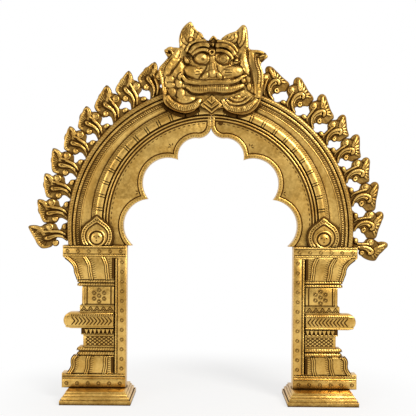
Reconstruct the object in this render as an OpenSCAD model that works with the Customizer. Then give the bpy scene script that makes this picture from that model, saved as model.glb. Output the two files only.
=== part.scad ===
// Brass ritual arch: two plinths, two pillars, an arch in two halves with a flame border, and a lion mask at the crown.
// Sizes are in millimetres. The front faces -Y, the floor is Z = 0 and X = 0 is the middle of the doorway.

/* [Doorway] */
// Clear width between the two pillars
opening_w = 133; // [125:1:141]
// Width of each pillar
pillar_w = 51; // [48:1:55]
// Depth of the pillars and of the arch, front to back
body_d = 12; // [12:0.5:16]

/* [Plinths] */
// Height of each plinth
plinth_h = 9.6; // [8.6:0.2:13]
// Depth of each plinth, front to back
plinth_d = 46; // [46:1:60]
// How far a plinth stands out past its pillar on either side
plinth_lip = 2.2; // [1:0.2:4]
// How far the neck of a plinth stands back from the face of its pillar
neck_inset = 3; // [2:0.5:4]

/* [Pillars] */
// Width of the flat jamb beside the doorway
jamb_w = 7; // [6:0.5:8.5]
// Width of the rope moulding along the jamb
rope_w = 2; // [1.6:0.2:2.4]
// Height of the band at the foot of a pillar
foot_band_h = 11.6; // [11:0.2:14]
// Height of the ribbed bell over the foot band
bell_h = 14; // [11:0.5:17]
// Height of the two rings over the bell
low_rings_h = 7.2; // [6:0.2:9]
// Height of the lattice drum
drum_h = 9.6; // [8:0.2:12]
// Height of the toothed fringe under the disc
fringe_h = 5; // [4:0.2:7]
// Height of the wide disc
disc_h = 12.8; // [10:0.2:15]
// Height of the zigzag band over the disc
zigzag_h = 5.6; // [4:0.2:7]
// Height of the square block with the punched flower
block_h = 15; // [12:0.5:18]
// Height of the two rings under the capital
high_rings_h = 5.6; // [4.6:0.2:8]
// Height of the ribbed capital
capital_h = 18; // [15:0.5:21]
// Height of the band at the head of a pillar
head_band_h = 9; // [8.6:0.2:12]
// Thickness of the back web that carries the turned column
web_t = 3; // [2.5:0.25:3.5]

/* [Arch] */
// Height of the rim's centre above the arch foot
rim_rise = 13.8; // [11:0.2:16]
// Height of the ribs' centre above the arch foot
rib_rise = 18.8; // [17:0.2:20]
// How far the rim stands in from the pillar's outer face at the foot
rim_inset = 4.1; // [3:0.1:5]
// How far the ribs stand in from the rim
rib_inset = 20; // [19:0.5:21.5]
// Thickness of the arch plate
plate_t = 3; // [2.5:0.25:3.5]
// Width of the border round the cusped opening
border_w = 4.4; // [3.6:0.2:5]

/* [Flames] */
// Height of a flame leaf out from the rim
flame_h = 27.6; // [25:0.2:29]
// Thickness of a flame leaf
flame_t = 5; // [4:0.25:6]
// Gap between one leaf and the next
flame_gap = 0.35; // [0.3:0.05:0.6]

/* [Mask] */
// Scale of the mask's face, loops and ears together
mask_scale = 1.03; // [0.94:0.01:1.06]
// Height of the mask's middle above its two studs
mask_rise = 24.5; // [22:0.5:27]
// Thickness of the mask's back plate
mask_plate_t = 4; // [3.5:0.25:5]

/* [Fixings] */
// Diameter of the plinth, strap, splice and column screws
screw_d = 3; // [2.5:0.25:3.5]
// Diameter of the mask studs
stud_d = 4; // [3.5:0.25:4.5]
// Thickness of the straps and of the splice plate
strap_t = 2.5; // [2:0.25:3]

/* [Hidden] */
$fn = 96;
half_open = opening_w / 2;
pillar_x = half_open + pillar_w / 2;
pillar_out = half_open + pillar_w;
front = -body_d / 2;
back = body_d / 2;
relief = 3;
plate_front = front + relief;
plate_back = plate_front + plate_t;

// Heights of the column's steps, from the foot band up
step_h = [bell_h, low_rings_h, drum_h, fringe_h, disc_h, zigzag_h, block_h, high_rings_h, capital_h];
function sum_to(list, n) = n <= 0 ? 0 : list[n - 1] + sum_to(list, n - 1);
column_z = plinth_h + foot_band_h;
function step_z(n) = column_z + sum_to(step_h, n);
head_z = step_z(len(step_h));
foot_z = head_z + head_band_h;

// How far each step of the column stands in from the pillar's outer face
ring_in = 11.5;
drum_in = 16.9;
fringe_in = 15.2;
disc_in = 1.1;
zigzag_in = 14;
block_in = 15.8;
column_x = half_open + jamb_w + rope_w;

// Rim and ribs of the arch
rim_foot_x = pillar_out - rim_inset;
rim_r = sqrt(rim_foot_x * rim_foot_x + rim_rise * rim_rise);
rim_z = foot_z + rim_rise;
rib_r = rim_r - rib_inset;
rib_z = foot_z + rib_rise;
rim_top = rim_z + rim_r;
seam_gap = 0.3;

// The cusped opening is drawn for a doorway this wide and scaled to the real one
drawn_half = 66.5;
cusp_k = half_open / drawn_half;
lobe_c = [[11.65, 72], [34.3, 50.3], [48.7, 16.2]];
lobe_r = [15, 20.5, 21.2];
ogee_c = [10.2, 97.2];
ogee_r = 10.4;
ogee_top = 95;

// Medallions at the arch feet
drop_shift = 1.6;
drop_x = pillar_x - drop_shift;
drop_r = 12;
drop_rise = 7.4;
drop_tip = 16.6;
drop_boss_r = 5.2;
drop_boss_drop = 2;
drop_t = 4;
fit_gap = 0.15;

// Crown pad that takes the splice plate and the mask studs, over the rim's inner edge
pad_half = 24;
pad_h = 17;
pad_top = rim_top - 4;
pad_z = pad_top - pad_h / 2;
stud_x = 11;
splice_x = 19;
splice_dz = 5;
stud_clear = 0.25;
crown_hole_d = 2.6;
crown_hole_x = 8.4;
crown_hole_z = foot_z + 99;

// Foot pad that takes the strap, behind the medallion
strap_w = 30;
strap_up = 12;
strap_down = 8.4;
strap_dx = 9;
strap_screw_up = 6.5;
strap_screw_down = 4.4;
foot_pad_h = 14;
foot_pad_half = 17;

// Screws
head_d = 2 * screw_d;
head_h = 0.6 * screw_d;
sink_h = 0.5 * screw_d;
screw_depth = 6;
tip_gap = 0.6;
slot_w = 0.9;
slot_t = 0.8;
plinth_screw_dx = 13;
plinth_shift = 3.5;
plinth_x = pillar_x - plinth_shift;
plinth_screw_in = 8;
sink_recess = 0.4;
bore_clear = 0.25;
column_screw_step = [1.5, 6.5];
nut_flat = 1.75 * stud_d;
nut_h = 0.8 * stud_d;
stud_in = 3;
stud_out = 1.6;

// Mask
mask_z = pad_z + mask_rise;
mask_back = front - 1.5;
mask_face = mask_back - mask_plate_t;

// Angle of each flame's tip above the level of the rim's centre, from the foot up to the crown
left_tips = [0, 8.7, 17.6, 26.3, 35.2, 43.8, 53.3, 61.9, 70.8];
right_tips = [-4.7, 5.1, 15.2, 24.1, 32.6, 40.6, 50.1, 59.9, 70.2];
left_span = 8.9;
right_span = 7.4;

// Height of each flame, as a share of the flames' own height
left_rise = [1.16, 0.965, 0.945, 1.01, 0.935, 0.95, 1.025, 1.045, 0.985];
right_rise = [1.05, 0.92, 0.925, 0.915, 0.97, 0.985, 0.985, 0.975, 0.905];

brass = [0.78, 0.6, 0.27];
pale_brass = [0.86, 0.7, 0.36];
steel = [0.62, 0.62, 0.64];

// Mirrors what is drawn for the right side onto the left when side is -1
module on_side(side) {
    if (side < 0) mirror([1, 0, 0]) children();
    else children();
}

// Stands a flat X and Z outline up and gives it depth from y0 at the front to y1 at the back
module slab(y0, y1) {
    translate([0, y1, 0]) rotate([90, 0, 0]) linear_extrude(y1 - y0) children();
}

// A round bar along Y from y0 to y1
module bar(x, z, d, y0, y1) {
    translate([x, y1, z]) rotate([90, 0, 0]) cylinder(d = d, h = y1 - y0);
}

// Closed smooth curve through a ring of points, with n stretches between neighbours
function blend(a, b, c, d, t) = 0.5 * (2 * b + (c - a) * t + (2 * a - 5 * b + 4 * c - d) * t * t
    + (3 * b - a - 3 * c + d) * t * t * t);
function ring(p, n) = [for (i = [0 : len(p) - 1]) for (j = [0 : n - 1])
    let (m = len(p)) blend(p[(i + m - 1) % m], p[i], p[(i + 1) % m], p[(i + 2) % m], j / n)];

// Plinth outline: how far in and how high each corner lies, as shares of the neck's inset and the height
plinth_steps = [[0, 0], [0, 0.36], [0.14, 0.42], [0.26, 0.44], [0.3, 0.52], [0.52, 0.68], [0.72, 0.74],
    [0.9, 0.78], [1, 0.86], [1, 1]];
module plinth_outline(half) {
    inset = plinth_lip + neck_inset;
    right = [for (s = plinth_steps) [half - s[0] * inset, s[1] * plinth_h]];
    left = [for (i = [len(right) - 1 : -1 : 0]) [-right[i][0], right[i][1]]];
    polygon(concat(right, left));
}

module plinth(side) {
    half_w = pillar_w / 2 + plinth_lip;
    half_d = plinth_d / 2;
    color(brass) on_side(side) translate([plinth_x, 0, 0]) difference() {
        intersection() {
            slab(-half_d, half_d) plinth_outline(half_w);
            rotate([0, 0, 90]) slab(-half_w, half_w) plinth_outline(half_d);
        }
        for (s = [-1, 1]) translate([plinth_shift + s * plinth_screw_dx, 0, 0]) {
            translate([0, 0, -1]) cylinder(d = screw_d + bore_clear, h = plinth_h + 2);
            translate([0, 0, -1]) cylinder(d = head_d, h = 1 + sink_recess);
            translate([0, 0, sink_recess]) cylinder(d1 = head_d, d2 = screw_d, h = sink_h);
        }
    }
}

// Countersunk screw standing up from the floor, with its slot
module sunk_screw() {
    tip = plinth_h + plinth_screw_in;
    difference() {
        union() {
            translate([0, 0, sink_recess]) cylinder(d1 = head_d, d2 = screw_d, h = sink_h);
            translate([0, 0, sink_recess + sink_h]) cylinder(d = screw_d, h = tip - sink_recess - sink_h);
        }
        translate([-head_d, -slot_w / 2, sink_recess - 1]) cube([2 * head_d, slot_w, 1 + slot_t / 2]);
    }
}

module plinth_screws() {
    color(steel) for (side = [-1, 1]) for (s = [-1, 1])
        translate([side * (pillar_x + s * plinth_screw_dx), 0, 0]) sunk_screw();
}

// Pan head screw driven towards the front from a face at y
module pan_screw(x, z, y, grip) {
    difference() {
        union() {
            bar(x, z, head_d, y, y + head_h);
            bar(x, z, screw_d, y - grip - screw_depth, y);
        }
        translate([x - slot_w / 2, y + head_h - slot_t, z - head_d]) cube([slot_w, slot_t + 1, 2 * head_d]);
    }
}

// The pillar's frame: head band, jamb and foot band round three sides of the column, with a web behind it
module frame(side) {
    dot_d = 2.6;
    dot_t = 0.5;
    dot_pitch = 8.4;
    jamb_mid = half_open + jamb_w / 2;
    rope_x = half_open + jamb_w + rope_w / 2;
    band_dots = floor((pillar_w - jamb_w) / dot_pitch);
    jamb_dots = floor((head_z - column_z) / dot_pitch);
    color(brass) on_side(side) difference() {
        union() {
            slab(front, back) difference() {
                translate([half_open, plinth_h]) square([pillar_w, foot_z - plinth_h]);
                translate([column_x, column_z]) square([pillar_w, head_z - column_z]);
            }
            slab(back - web_t, back) translate([column_x - 1, column_z - 1])
                square([pillar_out - drum_in - column_x, head_z - column_z + 2]);
            translate([rope_x, front, column_z]) cylinder(d = rope_w, h = head_z - column_z);
            for (z = [column_z - rope_w / 2, head_z + rope_w / 2, foot_z - rope_w / 2])
                translate([half_open + rope_w / 2, front, z]) rotate([0, 90, 0])
                    cylinder(d = rope_w, h = pillar_w - rope_w);
            for (i = [0 : jamb_dots])
                bar(jamb_mid, column_z + (i + 0.5) * (head_z - column_z) / (jamb_dots + 1), dot_d, front - dot_t, front + 1);
            for (i = [0 : band_dots - 1]) {
                x = half_open + jamb_w + (i + 0.5) * (pillar_w - jamb_w) / band_dots;
                bar(x, plinth_h + (foot_band_h - rope_w) / 2, dot_d, front - dot_t, front + 1);
                bar(x, (head_z + foot_z) / 2, dot_d, front - dot_t, front + 1);
            }
        }
        for (s = [-1, 1]) {
            translate([pillar_x + s * plinth_screw_dx, 0, plinth_h - 1]) cylinder(d = screw_d, h = plinth_screw_in + tip_gap + 1);
            bar(drop_x + s * strap_dx, foot_z - strap_screw_down, screw_d, back - screw_depth - tip_gap, back + 1);
        }
        for (n = column_screw_step)
            bar(column_mid_x(), column_screw_z(n), screw_d + bore_clear, back - web_t - 1, back + 1);
    }
}
function column_mid_x() = (column_x + pillar_out - drum_in) / 2;
function column_screw_z(n) = step_z(floor(n)) + (n - floor(n)) * step_h[floor(n)];

// Flat step of the column: from the jamb out to an end, with round or square nose
module step_slab(n, inset, y0, round_nose) {
    h = step_h[n];
    end = pillar_out - inset;
    nose = round_nose ? h / 2 : 0;
    translate([0, 0, step_z(n)]) slab(y0, back - web_t) {
        translate([column_x, 0]) square([end - nose - column_x, h]);
        if (round_nose) translate([end - nose, nose]) circle(r = nose);
    }
}

// Two stacked rings of one step, each a round bar with a round end
module ring_pair(n, inset, y0) {
    h = step_h[n] / 2;
    end = pillar_out - inset;
    for (i = [0, 1]) translate([0, 0, step_z(n) + i * h]) {
        slab(y0 + h / 2, back - web_t) {
            translate([column_x, 0]) square([end - h / 2 - column_x, h]);
            translate([end - h / 2, h / 2]) circle(d = h);
        }
        translate([column_x, y0 + h / 2, h / 2]) rotate([0, 90, 0]) cylinder(d = h, h = end - h / 2 - column_x);
        translate([end - h / 2, y0 + h / 2, h / 2]) sphere(d = h);
    }
}

// Flared step of the column: insets of its outer edge at even heights from its foot to its head
module flare(n, insets, y0) {
    count = len(insets) - 1;
    edge = [for (i = [0 : count]) [pillar_out - insets[i], step_z(n) + i * step_h[n] / count]];
    slab(y0, back - web_t) polygon(concat([[column_x, step_z(n)]], edge, [[column_x, step_z(n + 1)]]));
}

module column(side) {
    y_low = front - 0.5;
    y_mid = front - 1.2;
    y_high = front - 2.6;
    rib_d = 2;
    rib_pitch = 5.4;
    color(pale_brass) on_side(side) difference() {
        union() {
            flare(0, [3.9, 5.6, 6.8, 7.2, 7, 7.4, 9.4], y_low);
            ring_pair(1, ring_in, y_mid);
            step_slab(2, drum_in, y_low, false);
            step_slab(3, fringe_in, y_low - 0.4, false);
            step_slab(4, disc_in, y_high + 1, true);
            intersection() {
                step_slab(4, disc_in + 1.2, y_high, true);
                translate([0, 0, step_z(4) + 1.2]) cube([pillar_out, 4 * body_d, disc_h - 2.4], center = false);
                translate([0, -2 * body_d, 0]) cube([pillar_out, 4 * body_d, 2 * foot_z]);
            }
            step_slab(4, disc_in + 3.4, y_high + 0.4, true);
            step_slab(5, zigzag_in, y_low - 0.4, false);
            step_slab(6, block_in, y_mid, false);
            ring_pair(7, ring_in, y_mid);
            flare(8, [11.5, 10.4, 9.2, 8.8, 7.4, 4.6, 0.6], y_low);
            for (n = [0, 8]) for (x = [column_x + rib_pitch / 2 : rib_pitch : pillar_out - ring_in - rib_d])
                translate([x, y_low, step_z(n)]) cylinder(d = rib_d, h = step_h[n]);
        }
        for (n = column_screw_step)
            bar(column_mid_x(), column_screw_z(n), screw_d, back - web_t - screw_depth - tip_gap, back);
    }
}

module column_screws() {
    color(steel) for (side = [-1, 1]) on_side(side) for (n = column_screw_step)
        pan_screw(column_mid_x(), column_screw_z(n), back, web_t);
}

// Right half of the cusped opening, grown by t all round, in heights above the arch foot
module half_opening(t) {
    k = cusp_k;
    for (i = [0 : 2]) translate(k * lobe_c[i]) circle(r = k * lobe_r[i] + t);
    polygon(k * [[-1, -9], [62.4, -9], [62.4, 0], lobe_c[2], [48, 36], lobe_c[1], [24, 68], lobe_c[0], [8, 84], [-1, 84]]);
    difference() {
        polygon(concat(k * [[-1, 80], [9, 80], [9, 86]], [[k * 9, k * ogee_top + t], [-1, k * ogee_top + t]]));
        translate(k * ogee_c) circle(r = k * ogee_r - t);
    }
}

module opening(t) {
    translate([0, foot_z]) {
        half_opening(t);
        mirror([1, 0]) half_opening(t);
    }
}

// Teardrop outline of a medallion, grown by t, cut level just over the arch foot
module drop(t) {
    r = drop_r + t;
    intersection() {
        translate([drop_x, foot_z + drop_rise]) {
            circle(r = r);
            polygon([[-0.8 * r, 0.6 * r], [-0.36 * r, 0.98 * r], [0, drop_tip + t], [0.36 * r, 0.98 * r], [0.8 * r, 0.6 * r]]);
        }
        translate([drop_x - 2 * r, foot_z + 0.8 - t]) square([4 * r, 4 * r]);
    }
}

// Turned mouldings of the rim, as radius and height over the plate's front face
module rim_profile() {
    r = rim_r;
    low = plate_front - back;
    polygon([[r, low], [r, 2], [r - 0.8, relief], [r - 2.6, relief], [r - 3.2, 1.6], [r - 4, 2.4], [r - 5.2, 2.4],
        [r - 5.8, 1.2], [r - 9.4, 1], [r - 10, 0.2], [r - 10, -plate_t], [r - 3, -plate_t], [r - 3, low]]);
}

// Turned mouldings of the ribs, as radius and height over the plate's front face
module rib_profile() {
    r = rib_r;
    polygon([[r + 3, -1], [r + 3, 0.3], [r + 2, 1.5], [r + 0.4, 1.6], [r - 0.2, 1], [r - 0.8, 2.2], [r - 2.2, 3.4],
        [r - 4.2, 4], [r - 6.2, 3.4], [r - 7.8, 2.2], [r - 8.4, 0.8], [r - 9, 1.6], [r - 10, 1.6], [r - 10.6, 0.5],
        [r - 14, 0.5], [r - 14.6, 0], [r - 14.6, -1]]);
}

module turned(z) {
    translate([0, plate_front, z]) rotate([90, 0, 0]) rotate_extrude() children();
}

// Half space of one arch half, from the seam out and from the foot up
module half_space() {
    translate([seam_gap / 2, -2 * body_d, foot_z]) cube([2 * rim_r, 4 * body_d, 2 * rim_r]);
}

module arch(side) {
    color(brass) on_side(side) difference() {
        intersection() {
            union() {
                difference() {
                    union() {
                        slab(plate_front, plate_back) translate([0, rim_z]) circle(r = rim_r - 1);
                        turned(rim_z) rim_profile();
                        turned(rib_z) rib_profile();
                    }
                    slab(-2 * body_d, 2 * body_d) opening(0);
                }
                slab(plate_front - 1.4, back) intersection() {
                    difference() {
                        opening(border_w / 2);
                        opening(0);
                    }
                    translate([0, rim_z]) circle(r = rim_r - 1);
                }
                slab(plate_front - 0.7, plate_front + 1) intersection() {
                    difference() {
                        opening(border_w);
                        opening(0);
                    }
                    translate([0, rim_z]) circle(r = rim_r - 1);
                }
                slab(plate_front, back) difference() {
                    translate([drop_x - foot_pad_half, foot_z]) square([2 * foot_pad_half, foot_pad_h]);
                    opening(1);
                }
                slab(plate_front, back) translate([half_open + 2, foot_z]) square([rim_foot_x - half_open - 3, 4]);
                slab(front, back) translate([-1, pad_z - pad_h / 2]) square([pad_half + 1, pad_h]);
            }
            half_space();
        }
        slab(front - body_d, plate_front) drop(fit_gap);
        for (s = [-1, 1]) {
            bar(drop_x + s * strap_dx, foot_z + strap_screw_up, screw_d, back - screw_depth - tip_gap, back + 1);
            bar(splice_x, pad_z + s * splice_dz, screw_d, back - screw_depth - tip_gap, back + 1);
        }
        bar(stud_x, pad_z, stud_d + stud_clear, front - 1, back + 1);
        if (side > 0) bar(crown_hole_x, crown_hole_z, crown_hole_d, front - body_d, back + 1);
    }
}

module medallion(side) {
    boss_z = foot_z + drop_rise - drop_boss_drop;
    color(pale_brass) on_side(side) {
        slab(plate_front - drop_t + 1.4, plate_front) drop(0);
        slab(plate_front - drop_t + 0.6, plate_front - 1) difference() {
            drop(-1);
            drop(-3.4);
        }
        difference() {
            translate([drop_x, plate_front - drop_t + 2.4, boss_z]) sphere(r = drop_boss_r);
            slab(plate_front - drop_t + 2, back) translate([drop_x - 2 * drop_r, foot_z - drop_r]) square(4 * drop_r);
        }
    }
}

// Strap across the joint of arch and pillar, on the back
module strap(side) {
    color(pale_brass) on_side(side) difference() {
        slab(back, back + strap_t) translate([drop_x - strap_w / 2, foot_z - strap_down]) square([strap_w, strap_up + strap_down]);
        for (s = [-1, 1]) {
            bar(drop_x + s * strap_dx, foot_z + strap_screw_up, screw_d + bore_clear, back - 1, back + strap_t + 1);
            bar(drop_x + s * strap_dx, foot_z - strap_screw_down, screw_d + bore_clear, back - 1, back + strap_t + 1);
        }
    }
}

module strap_screws() {
    color(steel) for (side = [-1, 1]) on_side(side) for (s = [-1, 1]) {
        pan_screw(drop_x + s * strap_dx, foot_z + strap_screw_up, back + strap_t, strap_t);
        pan_screw(drop_x + s * strap_dx, foot_z - strap_screw_down, back + strap_t, strap_t);
    }
}

module crown_splice() {
    color(pale_brass) difference() {
        slab(back, back + strap_t) translate([-pad_half, pad_z - pad_h / 2]) square([2 * pad_half, pad_h]);
        for (side = [-1, 1]) {
            bar(side * stud_x, pad_z, stud_d + stud_clear, back - 1, back + strap_t + 1);
            for (s = [-1, 1])
                bar(side * splice_x, pad_z + s * splice_dz, screw_d + bore_clear, back - 1, back + strap_t + 1);
        }
    }
}

module splice_screws() {
    color(steel) for (side = [-1, 1]) for (s = [-1, 1])
        pan_screw(side * splice_x, pad_z + s * splice_dz, back + strap_t, strap_t);
}

// Outline of a flame, from the stem's foot round: height over the rim, share of the span to the flame below,
// and a further shift along the rim that keeps the trunk and the neighbour's blade a gap apart
trunk = 3.8;
meet = trunk + flame_gap;
left_foot = [[-2.4, -0.68, 0], [1.2, -0.675, 0], [2.8, -0.63, 0], [5, -0.58, 0], [6.8, -0.585, 0], [8.1, -0.645, 0],
    [9, -0.74, 0], [10, -1, meet], [13, -1, meet], [16, -1, meet], [17.6, -1, meet]];
right_foot = [[-2.4, -0.61, 0], [1.3, -0.57, 0], [2.6, -0.49, 0], [4, -0.46, 0], [5.6, -0.475, 0], [7.2, -0.575, 0],
    [9, -0.665, 0], [10.4, -0.74, 0], [11.6, -1, meet], [14, -1, meet], [16.4, -1, meet], [18.2, -1, meet]];
// The lowest flame of each side has no neighbour below, so its stem is slim and its blade's back is round
left_first = [[-2.4, -0.58, 0], [1.2, -0.56, 0], [2.8, -0.47, 0], [5, -0.39, 0], [7, -0.36, 0], [8.6, -0.39, 0],
    [9.9, -0.48, 0], [11, -0.59, 0], [12.6, -0.7, 0], [14.6, -0.78, 0], [16.8, -0.81, 0]];
right_first = [[-2.4, -0.26, 0], [1.2, -0.26, 0], [3, -0.24, 0], [4.6, -0.26, 0], [5.9, -0.36, 0], [6.9, -0.5, 0],
    [8.2, -0.63, 0], [10, -0.73, 0], [13, -0.8, 0], [16.4, -0.83, 0]];
left_blade = [[18.9, -0.81, 0], [20.2, -0.785, 0], [21.4, -0.71, 0], [22.5, -0.6, 0], [23.2, -0.48, 0], [24.3, -0.31, 0],
    [25.6, -0.16, 0], [26.7, -0.04, 0], [27, 0.025, 0], [26.2, 0.07, 0], [24.2, 0.09, 0], [22, 0.08, 0], [20.5, 0.05, 0]];
right_blade = [[19.4, -0.8, 0], [20.4, -0.73, 0], [21.2, -0.6, 0], [22.2, -0.47, 0], [23.8, -0.34, 0], [25.4, -0.2, 0],
    [26.8, -0.09, 0], [27, 0.01, 0], [26.2, 0.08, 0], [24.6, 0.12, 0], [22.4, 0.125, 0], [20.8, 0.1, 0]];
left_head = [[19.3, 0, 1.5], [18.3, 0, 2.5], [17.2, 0, 3.4], [15.6, 0, trunk], [12.6, 0, trunk], [10.8, 0, trunk - 0.4],
    [9.6, 0, 2.5], [8.8, 0, 0.8], [7.6, -0.07, 0], [6.4, -0.07, 0], [5.5, 0, 0], [5.2, 0.08, 0], [4.4, 0.15, 0],
    [3, 0.19, 0], [1.6, 0.22, 0], [-2.4, 0.22, 0]];
right_head = [[19.6, 0, 1.9], [18.6, 0, 2.6], [17.4, 0, 3.4], [16, 0, trunk], [13.6, 0, trunk], [12.2, 0, trunk - 0.3],
    [11, 0, 2.7], [9.8, 0, 0.9], [7.8, -0.04, 0], [6.2, -0.045, 0], [5, 0, 0], [3.6, 0.12, 0], [2.3, 0.2, 0],
    [1.3, 0.25, 0], [-2.4, 0.27, 0]];
left_edge = concat(left_foot, left_blade, left_head);
right_edge = concat(right_foot, right_blade, right_head);
left_first_edge = concat(left_first, left_blade, left_head);
right_first_edge = concat(right_first, right_blade, right_head);
flame_tip = 27;
flame_root = 15;
stem_top = 5.5;
stem_clear = 0.5;
function stem_limit(u, r) = u < stem_top ? asin((stem_clear - rim_rise) / r) : -90;
function flame_u(h, u) = u > flame_root ? flame_root + (u - flame_root) * (h - flame_root) / (flame_tip - flame_root) : u;
function flame_at(tip, span, h, u, f, s) = let (r = rim_r + flame_u(h, u),
    a = max(tip + f * span + s / r * 180 / PI, stem_limit(u, r))) [r * cos(a), r * sin(a)];
function span_of(side, tips, i) = i == 0 ? (side < 0 ? left_span : right_span) : tips[i] - tips[i - 1];

module flame(side, tips, i) {
    tip = tips[i];
    span = span_of(side, tips, i);
    h = flame_h * (side < 0 ? left_rise[i] : right_rise[i]);
    edge = i == 0 ? (side < 0 ? left_first_edge : right_first_edge) : (side < 0 ? left_edge : right_edge);
    y_front = -flame_t / 2 - 1;
    y_back = y_front + flame_t;
    bud = flame_at(tip, span, h, 14.4, 0, 0.9);
    head = flame_at(tip, span, h, 15, -0.42, 0);
    hub = flame_at(tip, span, h, 10.2, -0.62, 0);
    bud_d = 5;
    curl_d = 4.2;
    stem_r = 7.6;
    stem_d = 3;
    stem_turn = i == 0 ? 75 : 120;
    y_sunk = y_front + 0.3;
    color(pale_brass) on_side(side) translate([0, 0, rim_z]) {
        slab(y_front, y_back) difference() {
            polygon(ring([for (p = edge) flame_at(tip, span, h, p[0], p[1], p[2])], 4));
            circle(r = rim_r);
        }
        intersection() {
            union() {
                translate([bud[0], y_sunk, bud[1]]) sphere(d = bud_d);
                translate([head[0], y_sunk, head[1]]) sphere(d = curl_d);
                translate([hub[0], y_sunk, hub[1]]) rotate([90, 0, 0]) rotate([0, 0, tip + 25])
                    rotate_extrude(angle = stem_turn) translate([stem_r, 0]) circle(d = stem_d);
            }
            slab(y_front - body_d, y_front + 0.5) square(4 * rim_r, center = true);
        }
    }
}

// Places what is drawn flat about the mask's middle
module mask_slab(y0, y1) {
    slab(y0, y1) translate([0, mask_z]) scale(mask_scale) children();
}

// Right half of the mask's silhouette below the ears, about the mask's middle, from the brow down to the chin
mask_edge = [[5, 22], [14, 17], [24, 15], [33, 14.6], [40, 14], [43, 11], [40, 8.4], [37.4, 5], [39, -1], [40.4, -10],
    [39.6, -19], [37, -26], [32, -32], [25, -35.6], [17, -36], [9.8, -33.6]];
module mask_outline() {
    right = [for (p = mask_edge) p];
    left = [for (i = [len(right) - 1 : -1 : 0]) [-right[i][0], right[i][1]]];
    polygon(ring(concat(right, left), 3));
}

// Ear of the mask, about the mask's middle, for the right side
ear_ring = [[4, 19], [9, 24.5], [14.6, 28.8], [17, 29.6], [19.4, 33.4], [22.4, 36.6], [25.6, 33.8], [27.2, 28], [27.6, 20], [26, 13], [14, 12]];
module ear(lean) {
    translate([16, 12]) rotate(lean) translate([-16, -12]) polygon(ring(ear_ring, 4));
}

module mask_ball(x, y, z, r) {
    translate([mask_scale * x, mask_face - mask_scale * y, mask_z + mask_scale * z]) sphere(r = mask_scale * r);
}

module mask_arc(x, z, r, d, from, sweep, y) {
    translate([mask_scale * x, mask_face - mask_scale * y, mask_z + mask_scale * z]) rotate([90, 0, 0]) rotate([0, 0, from])
        rotate_extrude(angle = sweep) translate([mask_scale * r, 0]) circle(d = mask_scale * d);
}

left_ear_lean = 5;
right_ear_lean = -4;
eye_x = 8;
eye_z = 8.2;
lip_r = 44;
lip_z = 33.5;
tooth_w = 3.9;
teeth = 9;

module kirtimukha() {
    color(brass) difference() {
        union() {
            mask_slab(mask_face, mask_back) mask_outline();
            mask_slab(mask_face + 0.6, mask_back) {
                ear(right_ear_lean);
                mirror([1, 0]) ear(left_ear_lean);
                polygon([[-5, 20], [0, 25.4], [5, 20]]);
            }
            for (side = [-1, 1]) bar(side * stud_x, pad_z, 2 * stud_d, mask_back - 1, front);
            intersection() {
                union() {
                    mask_ball(0, -11.5, 0, 21);
                    for (side = [-1, 1]) {
                        mask_ball(side * eye_x, 4.6, eye_z, 5.4);
                        mask_ball(side * 15, 2, -3, 7);
                        mask_ball(side * 4.2, 6.4, -4.6, 3);
                        mask_ball(side * 25, 0, -11, 4.2);
                        for (r = [9.4, 12]) mask_arc(side * (eye_x + 2), eye_z - 1, r, 2, 15, 150, 3 + (12 - r));
                        mask_arc(side * 19, 5, 2.8, 1.8, 0, 360, 1);
                        mask_arc(side * 12, -7, 27.5, 4.6, side > 0 ? -42 : 132, 90, 0);
                        mask_arc(side * 38, 10.8, 2.6, 2, 0, 360, 0);
                    }
                    mask_ball(0, 6, -3.6, 4.4);
                    mask_ball(0, 7, 12.2, 2);
                    mask_slab(mask_face - 7.5, mask_back) intersection() {
                        translate([0, lip_z]) difference() {
                            circle(r = lip_r + 2.6);
                            circle(r = lip_r - 2.6);
                        }
                        translate([-24, -16]) square([48, 16]);
                    }
                    for (i = [0 : teeth - 1]) {
                        x = (i - (teeth - 1) / 2) * (tooth_w + 0.5);
                        z = lip_z - sqrt(pow(lip_r + 2, 2) - x * x);
                        mask_slab(mask_face - 5.5, mask_back) translate([x - tooth_w / 2, z - 6.6]) square([tooth_w, 7]);
                    }
                }
                slab(mask_face - 4 * body_d, mask_back) translate([0, mask_z]) square(4 * rim_r, center = true);
            }
        }
        for (side = [-1, 1]) bar(side * stud_x, pad_z, stud_d, front - 1.5 - stud_in, front + 1);
    }
}

// Scroll below each corner of the mouth, laid on the mask's plate
loop_x = 20.6;
loop_z = -23;
module makara(side) {
    color(pale_brass) intersection() {
        union() {
            mask_arc(side * loop_x, loop_z, 11, 3.4, 195, 150, 0);
            mask_arc(side * loop_x, loop_z, 7.4, 2.4, 190, 160, 0.3);
            mask_ball(side * loop_x, 0, loop_z - 1, 4.2);
            mask_slab(mask_face - 0.9, mask_face) intersection() {
                translate([side * loop_x, loop_z]) circle(r = 12);
                translate([side * loop_x - 14, loop_z - 14]) square([28, 13]);
            }
        }
        slab(mask_face - 4 * body_d, mask_face) translate([0, mask_z]) square(4 * rim_r, center = true);
    }
}

// Pendant lozenge below the mask's teeth, in two steps
pendant_z = -28;
module pendant() {
    color(pale_brass) {
        mask_slab(mask_face - 2.6, mask_face) translate([0, pendant_z]) rotate(45) square(9.4, center = true);
        mask_slab(mask_face - 3.8, mask_face - 2.6) translate([0, pendant_z]) rotate(45) square(6, center = true);
    }
}

module mask_studs() {
    color(steel) for (side = [-1, 1])
        bar(side * stud_x, pad_z, stud_d, front - 1 - stud_in, back + strap_t + nut_h + stud_out);
}

module mask_nuts() {
    color(steel) for (side = [-1, 1]) difference() {
        translate([side * stud_x, back + strap_t + nut_h, pad_z]) rotate([90, 0, 0]) cylinder(d = nut_flat / cos(30), h = nut_h, $fn = 6);
        bar(side * stud_x, pad_z, stud_d, back, back + strap_t + 2 * nut_h);
    }
}

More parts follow.
